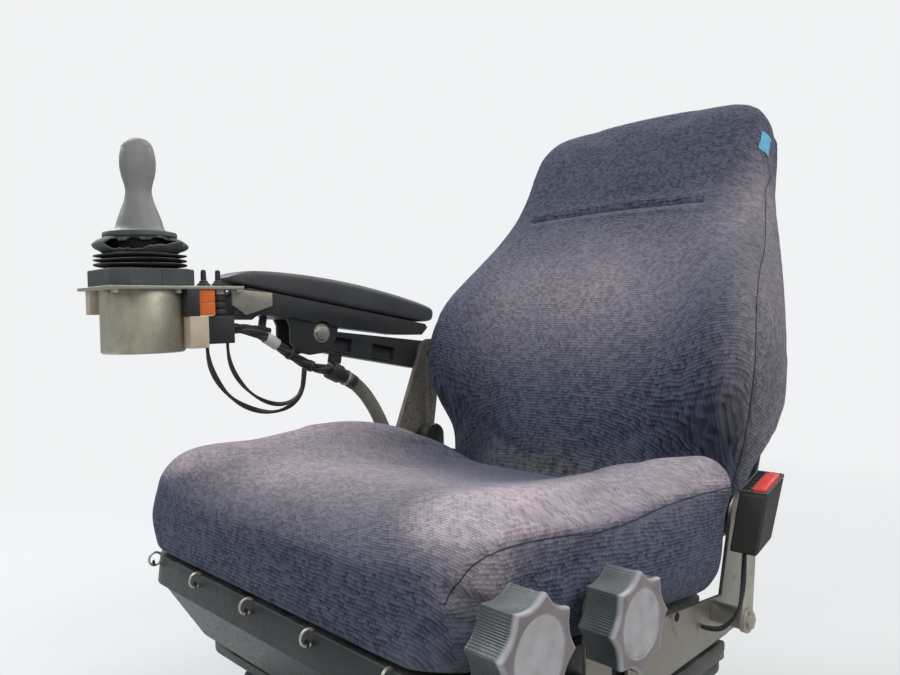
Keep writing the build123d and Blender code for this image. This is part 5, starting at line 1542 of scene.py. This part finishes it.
# CAD nodes that keep their shape: softened edges and a finish each
NODE_FINISHES = (
    (STEEL, "base_tray upper_frame rail_left rail_right runner_left runner_right recliner_frame"),
    (RUBBER, "suspension_bellows"), (FLANGE, "seat_pan"), (UPRIGHT, "armrest_upright"), (CAN, "joystick_can"),
    (GALVANISED, "side_plate_left side_plate_right knob_bracket"),
    (ZINC, "buckle_strap retractor_bracket tilt_bolt console_bracket console_plate"),
    (BLACK, "belt_retractor conduit_gland backrest_shell armrest_beam armrest_tray tilt_knob switch_body"
            " connector_block"),
    (CABLE, "conduit_ferrule"), (ORANGE, "signal_block_upper signal_block_lower"),
    (BEIGE, "relay_box small_relay"),
)
NODE_EDGES = {"armrest_tray": 2.2, "armrest_beam": 0.9, "backrest_shell": 2.0, "belt_retractor": 3.0,
              "seat_pan": 1.5, "upper_frame": 1.0, "tilt_knob": 2.0, "base_tray": 1.0}


def dress_node(name, material):
    """A CAD node's finish, its doubles welded and its hard edges broken by modifiers alone."""
    node = NODES[name]
    node.data.materials.clear()
    node.data.materials.append(material)
    node.data.polygons.foreach_set("use_smooth", [True] * len(node.data.polygons))
    weld = node.modifiers.new("weld", "WELD")
    weld.merge_threshold = 0.00001
    flat = node.modifiers.new("flat faces", "DECIMATE")
    flat.decimate_type = "DISSOLVE"
    flat.angle_limit = radians(0.5)
    edges = node.modifiers.new("broken edges", "BEVEL")
    edges.limit_method = "ANGLE"
    edges.angle_limit = radians(35)
    edges.width = NODE_EDGES.get(name, 0.5) * MM
    edges.segments = 2
    edges.harden_normals = True


for material, names in NODE_FINISHES:
    for name in names.split():
        dress_node(name, material)


# Floor, backdrop, lamps and world
FLOOR = 9.0
FLOOR_TONE, FLOOR_SHADE = (0.66, 0.66, 0.655), (0.63, 0.63, 0.625)
BACKDROP = (0.88, 0.89, 0.90)
FADE_FROM, FADE_TO = 0.8, 2.2       # where the floor turns into the backdrop, for the camera alone
SKY, SKY_STRENGTH = (0.93, 0.96, 1.0), 0.42
LAMPS_AIM = Vector((0, 0, 0.45))
# Lamps: name, place, watts, size, colour
LAMPS = (
    ("door_side", (1.9, 0.0, 2.1), 34, 1.4, (1.0, 0.98, 0.95)),
    ("far_windows", (-2.0, -0.4, 2.2), 56, 1.6, (0.93, 0.97, 1.0)),
    ("front_glass", (0.7, -2.4, 2.2), 12, 1.8, (0.96, 0.98, 1.0)),
    ("rear_glass", (-0.3, 2.2, 2.6), 36, 1.6, (0.96, 0.98, 1.0)),
)


def studio():
    """A pale floor that fades into a plain backdrop, four soft lamps and a pale sky."""
    floor_mesh = bpy.data.meshes.new("floor")
    floor_mesh.from_pydata([(-FLOOR, -FLOOR, 0), (FLOOR, -FLOOR, 0), (FLOOR, FLOOR, 0), (-FLOOR, FLOOR, 0)],
                           [], [(0, 1, 2, 3)])
    made = Finish("pale_floor", FLOOR_TONE, 0.9)
    made.colour(made.mix(made.noise(3, 2), FLOOR_TONE, FLOOR_SHADE))
    apart = made.add("ShaderNodeVectorMath", operation="LENGTH")
    made.feed(apart, 0, made.place)
    eye = made.add("ShaderNodeLightPath").outputs["Is Camera Ray"]
    faded = made.add("ShaderNodeEmission")
    made.feed(faded, "Color", BACKDROP)
    fade = made.add("ShaderNodeMixShader")
    made.feed(fade, 0, made.times(eye, made.level(apart.outputs["Value"], FADE_FROM, FADE_TO)))
    made.feed(fade, 1, made.shader.outputs[0])
    made.feed(fade, 2, faded.outputs[0])
    made.feed(made.tree.nodes["Material Output"], 0, fade.outputs[0])
    floor = link_piece("floor", floor_mesh, made.material)
    world = bpy.data.worlds.new("studio")
    SCENE.world = world
    world.use_nodes = True
    nodes, join = world.node_tree.nodes, world.node_tree.links.new
    light = nodes["Background"]
    light.inputs["Color"].default_value = (*SKY, 1)
    light.inputs["Strength"].default_value = SKY_STRENGTH
    seen = nodes.new("ShaderNodeBackground")
    seen.inputs["Color"].default_value = (*BACKDROP, 1)
    seen.inputs["Strength"].default_value = 1.0
    path = nodes.new("ShaderNodeLightPath")
    either = nodes.new("ShaderNodeMath")
    either.operation = "MAXIMUM"
    join(path.outputs["Is Camera Ray"], either.inputs[0])
    join(path.outputs["Is Transmission Ray"], either.inputs[1])
    choice = nodes.new("ShaderNodeMixShader")
    join(either.outputs[0], choice.inputs[0])
    join(light.outputs[0], choice.inputs[1])
    join(seen.outputs[0], choice.inputs[2])
    join(choice.outputs[0], nodes["World Output"].inputs["Surface"])
    for name, place, power, size, colour in LAMPS:
        lamp = bpy.data.lights.new(name, "AREA")
        lamp.energy, lamp.size, lamp.color = power, size, colour
        holder = bpy.data.objects.new(name, lamp)
        holder.location = place
        holder.rotation_euler = (LAMPS_AIM - Vector(place)).to_track_quat("-Z", "Y").to_euler()
        SCENE.collection.objects.link(holder)
    SCENE.view_settings.view_transform = "Standard"


studio()
